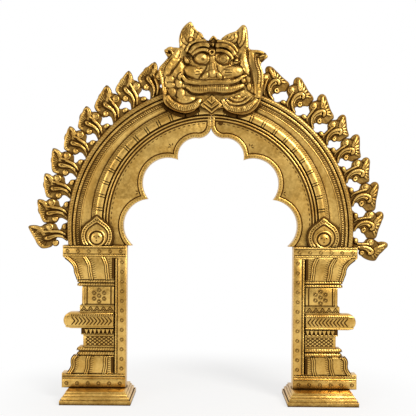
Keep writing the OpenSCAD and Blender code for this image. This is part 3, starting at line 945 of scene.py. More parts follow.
@dataclass
class PillarFrame:
    """Head band, jamb and foot band of a pillar, with rope borders and punched rings."""

    inner: float = 75.5
    edge: float = 0.5
    rope_x: float = 74.5
    rope_wire: float = 1.0
    rope_slant: float = 32.0
    ring: float = 1.35
    ring_wire: float = 0.42
    web: float = 3.0
    web_end: float = 100.6
    panel_back: float = 4.0
    band_marks: int = 6
    band_pitch: float = 8.5
    jamb_marks: int = 12
    jamb_pitch: float = 7.7

    def rope(self, line: Sequence[Spot], height: float) -> Piece:
        """Twists a rope moulding from slanted beads.

        Args:
            line: The line that the rope follows.
            height: The height of its middle.

        Returns:
            The rope.
        """
        wire = self.rope_wire
        bead = Bench.blob(MIDDLE, (1.15 * wire, 0.8 * wire, wire), 0.0, 8)
        return Bench.along(bead, line, (1.3 * wire, 0.6), height, self.rope_slant)

    def rings(self, spots: Sequence[Spot], height: float) -> Piece:
        """Strikes ring marks with a dot in each.

        Args:
            spots: The middle of each mark.
            height: The height of the face that they stand on.

        Returns:
            All the marks.
        """
        hoop = Bench.blacken(Bench.hoop((0.0, 0.0, -0.2), self.ring, self.ring_wire, 12), 0.75)
        dot = Bench.blob(MIDDLE, (0.8, 0.8, 0.55), 0.0, 8)
        mark = Bench.join([dot, hoop])
        return Bench.strew(mark, [(x, y, height, 0.0) for x, y in spots])

    def build(self, side: Side) -> Piece:
        """Builds the frame.

        Args:
            side: The side it stands on.

        Returns:
            The frame.
        """
        left = SIZES.half_open
        right = SIZES.pillar_out
        low = SIZES.plinth_top
        top = SIZES.arch_foot
        foot = SIZES.column_foot
        head = SIZES.column_head
        front = SIZES.front
        outline = [(left, low), (right, low), (right, foot), (self.inner, foot), (self.inner, head),
                   (right, head), (right, top), (left, top)]
        parts = [Bench.plate(outline, SIZES.back, front - 0.4, self.edge)]
        web_high = (self.web_end, head + 1, SIZES.back + self.web)
        parts.append(Bench.block((self.inner - 1, foot - 1, SIZES.back), web_high, 0.2))
        # Raised panels of the bands and the jamb, which leave a sunk line round them
        panels = [((left + 0.5, low + 0.5), (right - 0.6, foot - 4.6)),
                  ((left + 0.5, head + 2.4), (right - 0.6, top - 2.4)),
                  ((left + 0.5, foot - 0.2), (self.rope_x - 1.5, head - 0.4))]
        for corner, opposite in panels:
            parts.append(Bench.block((*corner, self.panel_back), (*opposite, front), 0.35))
        reach = right - 0.8
        for y in (foot - 1.3, head + 1.2, top - 1.1):
            parts.append(self.rope([(left + 0.8, y), (reach, y)], front - 0.25))
        rails = []
        for y in (foot - 3.3, head - 0.2):
            rails.append([(x, y, front - 0.5, 0.75) for x in (left + 0.6, reach)])
        parts.append(Bench.rods(rails))
        parts.append(self.rope([(self.rope_x, foot + 0.3), (self.rope_x, head - 1.2)], front - 0.2))
        spots = []
        for index in range(self.band_marks):
            x = left + 4.6 + index * self.band_pitch
            spots += [(x, low + 3.8), (x, (head + top) / 2)]
        for index in range(self.jamb_marks):
            spots.append((left + 3.4, foot + 4.0 + index * self.jamb_pitch))
        parts.append(self.rings(spots, front))
        return Bench.stand(Bench.join(parts), f"{side.word}_frame_cast", side)


@dataclass
class HalfColumn:
    """Stack of bell, rings, drum, fringe, disc, zigzag, block, rings and capital in a pillar's frame."""

    root: float = 76.2
    back: float = -3.0
    low_face: float = 6.0
    mid_face: float = 6.7
    high_face: float = 8.0
    roll_face: float = 4.6
    edge: float = 0.5
    bell: Spot = (21.2, 35.2)
    low_rings: Spot = (35.2, 42.4)
    drum: Spot = (42.4, 52.0)
    fringe: Spot = (52.0, 57.0)
    disc: Spot = (57.0, 69.8)
    zigzag: Spot = (69.8, 75.4)
    block: Spot = (75.4, 90.4)
    high_rings: Spot = (90.4, 96.0)
    capital: Spot = (96.0, 114.0)
    bell_ends: tuple[float, ...] = (113.6, 111.9, 110.7, 110.3, 110.5, 110.1, 108.1)
    capital_ends: tuple[float, ...] = (106.0, 107.1, 108.3, 108.7, 110.1, 112.9, 116.9)
    ring_end: float = 106.0
    drum_end: float = 100.6
    fringe_end: float = 102.3
    disc_end: float = 116.4
    zigzag_end: float = 103.5
    block_end: float = 101.7
    rail_bends: tuple[float, ...] = (110.5, 113.5, 115.0)
    herringbone: float = 78.0
    panel_lines: Spot = (78.6, 97.6)
    panel_rib: float = 100.2
    flower: float = 88.0
    # Paired ribs, as a share of the way from the jamb to the outer edge and how far they follow its bend
    paired: tuple[Spot, ...] = ((0.19, 0.38), (0.595, 0.52), (0.94, 0.96))

    def slab(self, span: Spot, end: float, face: float, rounding: float) -> Piece:
        """Planes one block of the stack from the jamb to its outer end and returns it."""
        return Bench.block((self.root, span[0], self.back), (end, span[1], face), rounding)

    def rails(self, span: Spot, end: float, face: float, wire: float) -> Piece:
        """Lays a thin wire along the low and the high edge of a block and returns both."""
        edges = [[(x, y, face, wire) for x in (self.root, end)] for y in (span[0] + 0.4, span[1] - 0.4)]
        return Bench.rods(edges, sides=1)

    def flare(self, span: Spot, ends: Sequence[float]) -> list[Piece]:
        """Builds a flared step with ribs that follow its flare.

        Args:
            span: Its lowest and highest height.
            ends: Where its outer edge lies at even heights, from its foot up.

        Returns:
            Its parts.
        """
        low, high = span
        rise = (high - low) / (len(ends) - 1)
        edge = flowing([(x, low + index * rise) for index, x in enumerate(ends)])
        outline = [(self.root, low)] + edge + [(self.root, high)]
        face = self.low_face
        parts = [Bench.plate(outline, self.back, face, self.edge)]
        # Dark flat bands along the jamb and under each pair of ribs: painted shade in the corner and at the
        # ribs' feet, together with the dark of the grooves
        sunk = [[(self.root + 1.1, y, face, 1.0) for y in (low + 0.6, high - 0.6)]]
        ribs = []
        ticks = []
        mean = sum(ends) / len(ends)
        for share, follow in self.paired:
            line = [(self.root + (mean - self.root) * share + (x - mean) * follow, y) for x, y in edge]
            sunk.append([(x, y, face, 2.0) for x, y in line])
            for off in (-0.8, 0.8):
                ribs.append([(x + off, y, face + 0.4, 0.58) for x, y in line])
            for x, y, _ in walked(line, 1.7, 1.2):
                ticks.append([(x - 2.2, y, face, 0.26), (x - 4.4, y + 0.7, face, 0.2)])
        return parts + [Bench.inlay_and_shade(sunk), Bench.rods(ribs), Bench.inlay_and_shade(ticks)]

    def rolls(self, span: Spot) -> list[Piece]:
        """Builds two stacked rolls with slanted nicks.

        Args:
            span: Their lowest and highest height.

        Returns:
            Their parts.
        """
        low, high = span
        face = self.roll_face
        thick = (high - low) / 4
        end = self.ring_end - thick
        parts = []
        for share in (0.25, 0.75):
            y = low + share * (high - low)
            roll = [(self.root, y, face, thick), (end - 1.0, y, face, thick),
                    (end + 0.2, y, face - 0.2, 0.9 * thick), (end + 0.8, y, face - 0.6, 0.6 * thick)]
            parts.append(Bench.rods([roll], sides=3))
            parts.append(self.slab((y - thick, y + thick), end, face, 0.3))
            nick = Bench.blacken(Bench.blob(MIDDLE, (0.28, 0.8 * thick, 0.4), 0.0, 6), 0.5)
            places = [(self.root + 1.0 + index * 2.0, y, face + thick - 0.15, 20.0) for index in range(15)]
            parts.append(Bench.strew(nick, places))
        return parts

    def lattice(self) -> list[Piece]:
        """Builds the drum and its diamond lattice.

        Returns:
            Its parts.
        """
        low, high = self.drum
        face = self.low_face - 0.4
        pitch = 3.6
        rows = 3
        half = 0.42
        rise = (high - low - 1.6) / rows
        runs = []
        for row in range(rows):
            y = low + 0.8 + row * rise
            for index in range(int((self.drum_end - self.root - 1.0) / pitch)):
                x = self.root + 0.6 + index * pitch
                runs.append([(x, y, face, half), (x + pitch, y + rise, face, half)])
                runs.append([(x, y + rise, face, half), (x + pitch, y, face, half)])
        return [self.slab(self.drum, self.drum_end, face, 0.4), Bench.inlay_and_shade(runs),
                self.rails(self.drum, self.drum_end - 0.5, face, 0.6)]

    def teeth(self) -> list[Piece]:
        """Builds the fringe of hanging triangles under the disc.

        Returns:
            Its parts.
        """
        low, high = self.fringe
        face = self.low_face - 0.6
        pitch = 3.3
        parts = [Bench.tarnish(self.slab(self.fringe, self.fringe_end, face, 0.3), face, face + 0.3)]
        tooth = Bench.plate([(-1.5, 2.1), (1.5, 2.1), (0.0, -2.1)], 0.0, 1.7, 0.2)
        count = int((self.fringe_end - self.root) / pitch)
        middle = (low + high) / 2
        places = [(self.root + 1.8 + index * pitch, middle, face - 0.2, 0.0) for index in range(count)]
        parts.append(Bench.strew(tooth, places))
        parts.append(Bench.rods([[(x, low + 0.4, face, 0.5) for x in (self.root, self.fringe_end - 0.4)]]))
        return parts

    def wheel(self) -> list[Piece]:
        """Builds the wide disc with its herringbone and hatched bead.

        Returns:
            Its parts.
        """
        low, high = self.disc
        nose = (high - low) / 2
        middle = (low + high) / 2
        straight = self.disc_end - nose
        outline = [(self.root, low), (straight, low)]
        outline += around((straight, middle), nose, -80, 80, 14)
        outline += [(straight, high), (self.root, high)]
        face = self.high_face - 0.8
        parts = [Bench.plate(outline, self.back, face, 1.6)]
        first, second, last = self.rail_bends
        rail_top = high - 1.9
        rail = [(self.root, rail_top, face - 0.2, 1.0), (first, rail_top, face - 0.2, 1.0),
                (second, high - 3.6, face - 0.5, 0.9), (last, middle, face - 1.0, 0.8),
                (second, low + 2.6, face - 0.5, 0.7), (first, low + 1.3, face - 0.2, 0.7),
                (self.root, low + 1.3, face - 0.2, 0.7)]
        parts.append(Bench.rods([flowing(rail)]))
        runs = []
        pitch = 2.9
        spine = middle - 0.3
        tall = 3.1
        for index in range(11):
            x = self.herringbone + index * pitch
            for rise in (-tall, tall):
                runs.append([(x, spine, face, 0.6), (x + 0.85 * tall, spine + rise, face, 0.45)])
        parts.append(Bench.inlay_and_shade(runs))
        nick = Bench.blacken(Bench.blob(MIDDLE, (0.3, 0.95, 0.4), 0.0, 6))
        places = [(self.root + 1.0 + index * 1.7, rail_top, face + 0.75, 18.0) for index in range(20)]
        parts.append(Bench.strew(nick, places))
        return parts

    def waves(self) -> list[Piece]:
        """Builds the zigzag band over the disc.

        Returns:
            Its parts.
        """
        low, high = self.zigzag
        face = self.low_face - 0.5
        half = 0.42
        pitch = 5.2
        bottom = low + 0.9
        top = high - 1.0
        runs = []
        for index in range(int((self.zigzag_end - self.root - 0.8) / pitch)):
            x = self.root + 0.6 + index * pitch
            for share in (0.0, 0.5, 1.0):
                shift = share * pitch / 2
                peak = (x + pitch / 2, top - share * (top - bottom), face, half)
                runs.append([(x + shift, bottom, face, half), peak])
                runs.append([peak, (x + pitch - shift, bottom, face, half)])
        return [self.slab(self.zigzag, self.zigzag_end, face, 0.3), Bench.inlay_and_shade(runs[:-2]),
                self.rails(self.zigzag, self.zigzag_end - 0.4, face, 0.5)]

    def panel(self) -> list[Piece]:
        """Builds the square block with its flower of seven ring marks.

        Returns:
            Its parts.
        """
        low, high = self.block
        face = self.mid_face - 0.3
        parts = [self.slab(self.block, self.block_end, face, 0.5)]
        runs = [[(x, y, face, 0.6) for y in (low + 0.3, high - 0.3)] for x in self.panel_lines]
        runs.append([(x, low + 0.9, face, 0.5) for x in (self.root, self.block_end)])
        parts.append(Bench.inlay_and_shade(runs))
        parts.append(Bench.rods([[(self.panel_rib, y, face - 0.1, 0.9) for y in (low + 0.6, high - 0.6)]]))
        middle = (self.flower, (low + high) / 2 + 0.2)
        spots = [middle] + around(middle, 4.6, 30, 330, 5)
        parts.append(PillarFrame(ring=1.45, ring_wire=0.5).rings(spots, face + 0.1))
        return parts

    def build(self, side: Side) -> Piece:
        """Builds the column.

        Args:
            side: The side it stands on.

        Returns:
            The column.
        """
        parts = self.flare(self.bell, self.bell_ends)
        parts += self.rolls(self.low_rings)
        parts += self.lattice()
        parts += self.teeth()
        parts += self.wheel()
        parts += self.waves()
        parts += self.panel()
        parts += self.rolls(self.high_rings)
        parts += self.flare(self.capital, self.capital_ends)
        return Bench.stand(Bench.join(parts), f"{side.word}_column_cast", side)


@dataclass
class Opening:
    """The cusped doorway, drawn for its right half."""

    lobes: tuple[Spot, ...] = ((11.65, 72.0), (34.3, 50.3), (48.7, 16.2))
    radii: tuple[float, ...] = (15.0, 20.5, 21.2)
    ogee: Spot = (10.2, 97.2)
    ogee_radius: float = 10.4

    def edge(self, grow: float, top: float) -> list[Spot]:
        """Draws the edge from the foot to the crown.

        Args:
            grow: How far the edge stands out from the doorway's own edge.
            top: How high over the arch foot the edge runs up beside the crown seam.

        Returns:
            The points of the edge.
        """
        first, second, third = self.lobes
        r1, r2, r3 = (radius + grow for radius in self.radii)
        bow = self.ogee_radius - grow
        foot = (third[0] + math.sqrt(r3 ** 2 - third[1] ** 2), 0.0)
        low_cusp = meeting(third, r3, second, r2)
        high_cusp = meeting(second, r2, first, r1)
        neck = meeting(first, r1, self.ogee, bow)
        across = max(SIZES.seam, self.ogee[0] - bow)
        last = -math.degrees(math.acos(max(-1.0, (across - self.ogee[0]) / bow)))
        line = around(third, r3, bearing(third, foot), bearing(third, low_cusp), 22)
        line += around(second, r2, bearing(second, low_cusp), bearing(second, high_cusp), 20)[1:]
        line += around(first, r1, bearing(first, high_cusp), bearing(first, neck), 14)[1:]
        line += around(self.ogee, bow, bearing(self.ogee, neck), last, 12)[1:]
        line.append((across, top))
        return [(x, y + SIZES.arch_foot) for x, y in line]


def half_round(radius: float, half_width: float, base: float, height: float, flat: float = 1.0) -> Run:
    """Draws the profile of a rounded ridge.

    Args:
        radius: The radius of its middle line.
        half_width: Half its width.
        base: The height of its foot.
        height: How high it stands over its foot.
        flat: How flat its back is, from 1 for round towards 0.

    Returns:
        The closed profile, as radius and height.
    """
    count = 8
    profile = []
    for index in range(count + 1):
        turn = math.pi * index / count
        profile.append((radius + half_width * math.cos(turn), base + height * math.sin(turn) ** flat))
    sunk = 0.8
    profile.append((radius - half_width, base - sunk))
    profile.append((radius + half_width, base - sunk))
    return profile


@dataclass
class ArchHalf:
    """One half of the arch: plate, rim, ribs, cusped border and the pads on its back."""

    steps: int = 72
    wall: float = 3.0
    flange: float = 2.2
    border: float = 3.0
    border_top: float = 107.0
    flange_top: float = 104.0
    pad_half: float = 24.0
    pad_low: float = 230.04
    pad_high: float = 247.04
    foot_pad_x: float = 90.4
    foot_pad_half: float = 17.0
    foot_pad_top: float = 137.0
    ledge: Spot = (68.6, 112.4)
    pit: tuple[float, float, float] = (7.6, 222.0, 2.2)
    dash_radius: float = 79.4
    flowers: Knots = ((31.6, 202.4, -40.0), (57.6, 165.6, -65.0))
    rib_foot: float = 19.0
    joint: float = 10.4
    # Where the painted shadow under the mask's lower edge runs over the arch
    mask_shadow_line: tuple[Spot, ...] = ((9.6, -30.6), (14.5, -33.4), (20.0, -34.8), (25.5, -34.4), (30.5, -32.4),
                                    (35.0, -29.0), (38.0, -25.6))
    nick: float = 0.8
    slice: float = 1.2
    # Hatching of the rim, as way in from its edge, pitch, stroke, slant, rise and darkness
    strokes: Rows = (
        (8.5, 1.7, (1.5, 0.44, 0.42), 62.0, 1.2, 0.25), (5.4, 1.9, (1.0, 0.24, 0.25), 58.0, 2.3, 0.6),
        (2.0, 2.3, (1.3, 0.2, 0.2), 58.0, 3.0, 0.7)
    )

    def span(self, middle: float, radius: float, foot: float) -> Spot:
        """Gives the angles from a height over the arch foot up to the seam.

        Args:
            middle: How far up the arch the sweep's middle lies.
            radius: The sweep's outer radius.
            foot: The height over the arch foot where it starts.

        Returns:
            The first and last angle in degrees.
        """
        start = math.degrees(math.asin((SIZES.arch_foot + foot - middle) / radius))
        stop = 90.0 - math.degrees(math.asin(SIZES.seam / radius))
        return start, stop

    def moulding(self, profile: Sequence[Spot], middle: float, foot: float) -> Piece:
        """Sweeps a profile from the arch foot to the seam and returns it."""
        start, stop = self.span(middle, max(radius for radius, _ in profile), foot)
        return Bench.turned(profile, middle, start, stop, self.steps)

    def hatch(self, middle: float, radius: float, foot: float, pitch: float, sizes: Sequence[float],
              slant: float, height: float) -> Piece:
        """Lays slanted strokes along an arc that starts at a height over the arch foot, and returns them."""
        line = around((0.0, middle), radius, *self.span(middle, radius, foot), self.steps)
        return Bench.along(Bench.blob(MIDDLE, sizes, 0.0, 8), line, (pitch, 1.2), height, slant)

    def plate(self, side: Side) -> Piece:
        """Cuts the plate, strikes its dashes and flowers and marks the dark pit at the right half's crown.

        Args:
            side: The half's side.

        Returns:
            The plate.
        """
        face = SIZES.plate_front
        radius = SIZES.rim_radius - 1.0
        start, stop = self.span(SIZES.rim_middle, radius, 0.0)
        outer = around((0.0, SIZES.rim_middle), radius, stop, start, self.steps)
        outline = Opening().edge(0.0, outer[0][1] - SIZES.arch_foot - 0.2) + outer
        parts = [Bench.plate(outline, SIZES.plate_back, face, 0.25)]
        first, last = self.span(SIZES.rib_middle, self.dash_radius, 12.0)
        line = around((0.0, SIZES.rib_middle), self.dash_radius, first, last, self.steps)
        dash = Bench.blacken(Bench.blob(MIDDLE, (1.25, 0.42, 0.12), 0.0, 8))
        parts.append(Bench.along(dash, line, (4.0, 2.0), face))
        petal = Bench.blacken(Bench.blob((0.0, 1.8, 0.0), (0.5, 1.2, 0.12), 0.0, 8))
        petals = []
        for x, y, lean in self.flowers:
            petals += [(x, y, face, lean + turn) for turn in (-62.0, 0.0, 62.0)]
        parts.append(Bench.strew(petal, petals))
        if side is Side.RIGHT:
            x, y, half = self.pit
            parts.append(Bench.blacken(Bench.blob((x, y, face), (half, 1.2 * half, 0.2), 0.0, 10)))
        return Bench.join(parts)

    def rim(self) -> list[Piece]:
        """Sweeps the rim's bead, ridge, hatched band and cove, and the wall behind it.

        Returns:
            The parts.
        """
        r = SIZES.rim_radius
        face = SIZES.plate_front
        middle = SIZES.rim_middle
        wall = r - self.wall
        bead = half_round(r - 2.0, 2.0, face + 0.6, 2.4)
        parts = [Bench.blacken(self.moulding(bead, middle, 0.0), 0.3)]
        parts.append(self.moulding(half_round(r - 5.4, 1.3, face + 0.7, 1.7), middle, 0.0))
        band = [(r - 0.02, SIZES.back), (r - 0.02, face + 0.7), (r - 10.8, face + 0.9), (r - 10.8, face - 1),
                (wall, face - 1), (wall, SIZES.back)]
        parts.append(self.moulding(band, middle, 0.0))
        cove = [(r - 10.2, face - 1.0), (r - 10.2, face + 1.1)]
        bends = 8
        for index in range(bends + 1):
            share = index / bends
            cove.append((r - 10.4 - 11.6 * share, face + 1.1 - 1.0 * math.sin(math.pi * share) ** 0.8))
        cove.append((r - 22.0, face - 1.0))
        parts.append(self.moulding(cove, middle, 0.0))
        for inner, outer in ((r - 10.2, r - 6.9), (r - 4.2, r - 3.8)):
            ground = [(outer, face), (outer, face + 1.05), (inner, face + 1.15), (inner, face)]
            parts.append(Bench.blacken(self.moulding(ground, middle, 0.0), 0.8))
        for inward, pitch, sizes, slant, rise, depth in self.strokes:
            marks = self.hatch(middle, r - inward, 0.0, pitch, sizes, slant, face + rise)
            parts.append(Bench.blacken(marks, depth))
        parts.append(self.moulding(half_round(r - 10.7, 0.55, face + 0.8, 0.7), middle, 0.0))
        return parts

    def ribs(self) -> list[Piece]:
        """Sweeps the hatched strip, the cane rib with its paired joints and the two thin ridges.

        Returns:
            The parts.
        """
        r = SIZES.rib_radius
        face = SIZES.plate_front
        middle = SIZES.rib_middle
        foot = self.rib_foot
        strip = [(r + 0.6, face - 1), (r + 0.6, face + 1.6), (r - 2.4, face + 1.9), (r - 2.4, face - 1)]
        parts = [Bench.blacken(self.moulding(strip, middle, foot + 1.0), 0.4)]
        strokes = self.hatch(middle, r - 0.8, foot + 1.0, 1.9, (1.0, 0.22, 0.3), 50.0, face + 1.8)
        parts.append(Bench.blacken(strokes, 0.75))
        for line in (r + 0.7, r - 1.85):
            groove = half_round(line, 0.42, face + 1.3, 0.55)
            parts.append(Bench.blacken(self.moulding(groove, middle, foot + 1.0)))
        base = [(r - 2.0, face - 1), (r - 2.0, face + 0.5), (r - 13.4, face + 0.4), (r - 14.0, face - 1)]
        parts.append(Bench.blacken(self.moulding(base, middle, foot - 2.0)))
        parts.append(self.moulding(half_round(r - 9.4, 0.9, face + 0.3, 1.5), middle, foot - 1.0))
        parts.append(self.moulding(half_round(r - 11.8, 0.8, face + 0.2, 1.2), middle, foot - 2.0))
        return parts + self.cane(r - 5.0, foot)

    def cane(self, radius: float, foot: float) -> list[Piece]:
        """Lays the flat cane rib in long joints with a thin slice between each two.

        Args:
            radius: The radius of its middle line.
            foot: The height over the arch foot where it starts.

        Returns:
            The joints and slices.
        """
        profile = half_round(radius, 2.75, SIZES.plate_front + 1.2, 1.7, 0.45)
        start, stop = self.span(SIZES.rib_middle, radius, foot)
        count = round(math.radians(stop - start) * radius / self.joint)
        pitch = (stop - start) / count
        gap = math.degrees(self.nick / radius)
        slice_turn = math.degrees(self.slice / radius)
        parts = []
        for index in range(count):
            first = start + index * pitch
            last = first + pitch
            parts.append(Bench.turned(profile, SIZES.rib_middle, first + gap, last - slice_turn - gap, 6))
            parts.append(Bench.turned(profile, SIZES.rib_middle, last - slice_turn, last, 1))
        return parts

    def cusps(self) -> list[Piece]:
        """Builds the ticked border of the doorway, the dark line round it and the flange behind it.

        Returns:
            The parts.
        """
        edge = Opening().edge
        top = self.border_top
        face = SIZES.plate_front
        parts = [Bench.plate(edge(0.0, top) + edge(self.border, top)[::-1], face - 1.0, face + 1.25, 0.55)]
        back = edge(0.0, self.flange_top) + edge(self.flange, self.flange_top)[::-1]
        parts.append(Bench.plate(back, SIZES.back, face, 0.2))
        parts.append(Bench.inlay_and_shade([[(x, y, face, 0.6) for x, y in edge(self.border + 0.5, top)]]))
        tick = Bench.blacken(Bench.blob(MIDDLE, (0.24, 0.75, 0.15), 0.0, 6))
        parts.append(Bench.along(tick, edge(1.0, top), (2.1, 1.0), face + 1.2))
        return parts

    def pads(self) -> list[Piece]:
        """Builds the pads behind the crown and the foot that the fixings go into.

        Returns:
            The parts.
        """
        low = SIZES.arch_foot
        back = SIZES.back
        foot_low = self.foot_pad_x - self.foot_pad_half
        foot_high = self.foot_pad_x + self.foot_pad_half
        crown_high = (self.pad_half, self.pad_high, SIZES.front)
        return [Bench.block((SIZES.seam, self.pad_low, back), crown_high, 0.3),
                Bench.block((foot_low, low, back), (foot_high, self.foot_pad_top, 1.0), 0.3),
                Bench.block((self.ledge[0], low, back), (self.ledge[1], low + 4.0, 2.6), 0.3)]

    def build(self, side: Side) -> Piece:
        """Builds the half, with a painted shadow line along the arch under the mask's lower edge.

        Args:
            side: The half's side.

        Returns:
            The half.
        """
        parts = [self.plate(side)]
        parts += self.rim()
        parts += self.ribs()
        parts += self.cusps()
        parts += self.pads()
        piece = Bench.join(parts)
        k = SIZES.mask_scale
        # Painted shadow: a dark line along the arch under the mask's lower edge
        shade = [(k * x, k * y + SIZES.mask_middle, 1.8) for x, y in flowing(self.mask_shadow_line)]
        return Bench.stand(Bench.join([piece, Bench.chase_and_shade(piece, [shade])]), f"{side.word}_arch_cast", side)


@dataclass
class Medallion:
    """Teardrop at an arch foot, with a hatched rim, two rings and a domed boss."""

    middle: Spot = (90.4, 130.4)
    radius: float = 13.3
    tip: float = 17.2
    floor: float = 123.6
    rise: float = 3.0
    boss_drop: float = 1.4
    boss: float = 4.9

    def outline(self, share: float) -> list[Spot]:
        """Draws the teardrop or a smaller one within it.

        Args:
            share: Its share of the full size.

        Returns:
            The line from the left foot over the tip to the right foot.
        """
        r = share * self.radius
        x, y = self.middle
        lift = share * self.tip - 4.0 * (1.0 - share)
        half = [(x, y + lift), (x + 0.14 * r, y + 0.6 * lift + 0.42 * r), (x + 0.36 * r, y + 0.98 * r)]
        low = math.degrees(math.asin(max(-0.999, (self.floor - y) / r)))
        half += around(self.middle, r, 56, low, 16)
        return [(2 * x - a, b) for a, b in half[:0:-1]] + half

    def ring(self, share: float, height: float, wire: float) -> Run:
        """Lays a wire along a smaller teardrop and returns its knots."""
        return [(x, y, height, wire) for x, y in self.outline(share)]

    def build(self, side: Side) -> Piece:
        """Builds the medallion.

        Args:
            side: The side it lies on.

        Returns:
            The medallion.
        """
        top = SIZES.plate_front + self.rise
        parts = [Bench.plate(self.outline(1.0), SIZES.plate_front - 0.3, top, 0.4)]
        # The band between the dark lines has raised edges and slanted ticks
        parts.append(Bench.inlay_and_shade([self.ring(0.975, top, 0.75), self.ring(0.67, top, 0.8)]))
        parts.append(Bench.rods([self.ring(share, top - 0.1, 0.42) for share in (0.885, 0.735)]))
        tick = Bench.blacken(Bench.blob(MIDDLE, (0.45, 1.3, 0.35), 0.0, 6))
        parts.append(Bench.along(tick, self.outline(0.82), (2.0, 1.0), top, -16.0))
        x, y = self.middle
        y -= self.boss_drop
        parts.append(Bench.hoop((x, y, top), 6.5, 0.65, 32))
        parts.append(Bench.blacken(Bench.hoop((x, y, top), 5.5, 0.6, 32)))
        parts.append(Bench.blob((x, y, top), (self.boss, self.boss, 1.6), 0.0, 24))
        dot = Bench.blacken(Bench.blob(MIDDLE, (0.65, 0.65, 0.3), 0.0, 8))
        spots = around((x, y), 2.2, 30, 270, 2) + around((x, y), 0.1, 0, 90, 1)[:1]
        parts.append(Bench.strew(dot, [(a, b, top + 1.45, 0.0) for a, b in spots]))
        return Bench.stand(Bench.join(parts), f"{side.word}_medallion_cast", side)


@dataclass(frozen=True)
class LeafDrawing:
    """How one side's leaves are drawn: knots start with a height over the rim and a share of the span."""

    foot: Knots
    low_foot: Knots
    joint: tuple[float, ...]
    blade: Knots
    head: Knots
    stems: tuple[Knots, ...]
    strand: Knots
    lobes: tuple[Knots, ...]
    ridges: Knots
    lines: tuple[Knots, ...]
    veins: Knots
    swell: tuple[float, ...]
    skipped: int
    bright: float


